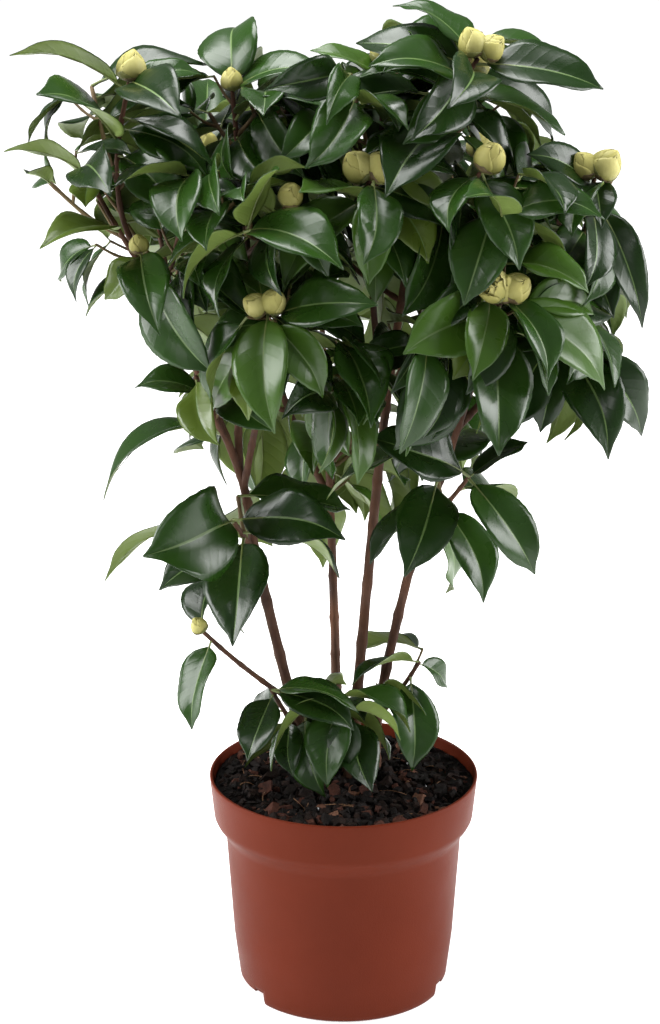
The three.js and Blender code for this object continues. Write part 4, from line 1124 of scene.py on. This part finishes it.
# colour, roughness, low, high, paint, relief, depth, specular, worn
SURFACES = {
    # The petals' low colour, at the foot, is partly the bud's green base and partly painted shade.
    "petal": ((0.29, 0.265, 0.05), 0.5, (0.105, 0.108, 0.014), (0.42, 0.385, 0.125), None,
              PETAL_RELIEF, 0.0004, 0.2),
    "petal_pale": ((0.36, 0.33, 0.08), 0.5, (0.135, 0.135, 0.019), (0.50, 0.46, 0.175), None,
                   PETAL_RELIEF, 0.0004, 0.2),
    "bud_scale": ((0.12, 0.13, 0.03), 0.55, (0.075, 0.085, 0.018), (0.2, 0.2, 0.055), (90, 4),
                  SCALE_RELIEF, 0.0003),
    "bud_scale_brown": ((0.11, 0.07, 0.03), 0.6, (0.06, 0.036, 0.015), (0.15, 0.11, 0.045), (110, 4),
                        SCALE_RELIEF, 0.0003),
    "bark": ((0.07, 0.033, 0.02), 0.8, (0.026, 0.011, 0.007), (0.12, 0.054, 0.031),
             (70, 6, 0.6, (1, 1, 0.25)), (240, 6, 0.65, (1, 1, 0.2)), 0.0009, 0.25, ((90, 3), (0.65, 0.95))),
    "young_bark": ((0.1, 0.065, 0.028), 0.65, (0.06, 0.031, 0.016), (0.14, 0.10, 0.038), (55, 5, 0.6),
                   (300, 5, 0.6, (1, 1, 0.3)), 0.0005, 0.3),
    "pot_plastic": ((0.108, 0.0178, 0.007), 0.45, (0.099, 0.0162, 0.0062), (0.117, 0.0194, 0.0078),
                    (9, 5, 0.6), (900, 4, 0.6), 0.00012, 0.06, ((14, 5), (0.4, 0.55))),
}
SOIL_TINTS = {
    "soil_dark": ((0.0015, 0.001, 0.001), (0.005, 0.003, 0.0025)),
    "chip_black": ((0.0015, 0.0012, 0.001), (0.008, 0.005, 0.004)),
    "chip_brown": ((0.003, 0.0018, 0.0014), (0.016, 0.008, 0.0055)),
    "chip_red": ((0.022, 0.008, 0.005), (0.07, 0.025, 0.016)),
    "chip_pale": ((0.075, 0.033, 0.02), (0.16, 0.078, 0.05)),
    "fibre": ((0.09, 0.046, 0.025), (0.21, 0.115, 0.064)),
    "perlite": ((0.55, 0.56, 0.58), (0.75, 0.76, 0.78)),
}


def make_materials():
    made = {name: leaf_material(name, *plan) for name, plan in LEAVES.items()}
    for name, (color, roughness) in RIBS.items():
        made[name] = surface(name, color, roughness, shade(color, 0.8), shade(color, 1.2),
                             (60, 2), (900, 2), 0.0001)
    for name, plan in SURFACES.items():
        made[name] = surface(name, *plan)
    for name, (low, high) in SOIL_TINTS.items():
        middle = tuple((a + b) / 2 for a, b in zip(low, high))
        made[name] = surface(name, middle, 0.75, low, high, (150, 5, 0.6), (600, 5, 0.65), 0.0008, 0.12,
                             ((120, 3), (0.5, 0.95)))
    return made


# ---- stage, light and camera
FLOOR_HALF, FLOOR_GLOW, WORLD_LIGHT, AIM = 15, 0.6, 0.24, Vector((0, 0, 0.4))
LAMPS = {"left": ((-1.9, -0.1, 1.2), 1.3, 66), "right": ((1.9, 0.0, 1.1), 1.3, 58),
         "top": ((-0.3, 0.4, 2.3), 1.4, 78), "front": ((-0.9, -2.1, 1.9), 0.7, 9)}
CAMERA_AT, CAMERA_DOWN, CAMERA_LENS = (-0.0096, -2.5678, 1.2775), 19.7226, 138.44


def make_stage():
    material = new_material("pale_floor", (0.8, 0.8, 0.8), 0.9, Emission_Color=(1, 1, 1, 1),
                            Emission_Strength=FLOOR_GLOW)[0]
    mesh = bpy.data.meshes.new("floor")
    corners = [(x * FLOOR_HALF, y * FLOOR_HALF, 0) for x, y in ((-1, -1), (1, -1), (1, 1), (-1, 1))]
    mesh.from_pydata(corners, [], [(0, 1, 2, 3)])
    mesh.materials.append(material)
    link("floor", mesh)

    world = bpy.data.worlds.new("studio")
    world.use_nodes = True
    put(world.node_tree.nodes["Background"], Color=(1, 1, 1, 1), Strength=WORLD_LIGHT)
    bpy.context.scene.world = world
    for name, (where, size, power) in LAMPS.items():
        lamp = bpy.data.lights.new(name, "AREA")
        lamp.shape, lamp.size, lamp.energy = "SQUARE", size, power
        obj = link(name, lamp)
        obj.location = where
        obj.rotation_euler = (AIM - Vector(where)).to_track_quat("-Z", "Y").to_euler()


def make_camera():
    data = bpy.data.cameras.new("camera")
    data.lens, data.sensor_width, data.sensor_fit = CAMERA_LENS, 36, "AUTO"
    data.clip_start, data.clip_end = 0.05, 60
    camera = link("camera", data)
    camera.location = CAMERA_AT
    camera.rotation_euler = (radians(90 - CAMERA_DOWN), 0, 0)
    bpy.context.scene.camera = camera


# ---- the whole plant
MATERIALS = make_materials()


def looks(*names):
    return [MATERIALS[name] for name in names]


make_camera()
make_stage()
dress_pot(MATERIALS["pot_plastic"])
dress_soil(looks(*SOIL_TINTS))
dress_limbs(MATERIALS["bark"])
dress_twigs(looks("bark", "young_bark"))
dress_leaves(looks(*TINTS, "leaf_under", "leaf_rib", "leaf_stalk"))
dress_buds(looks("petal", "petal_pale", "bud_scale", "bud_scale_brown"))

bpy.context.scene.view_settings.view_transform = "Standard"
bpy.context.scene.view_settings.look = "None"
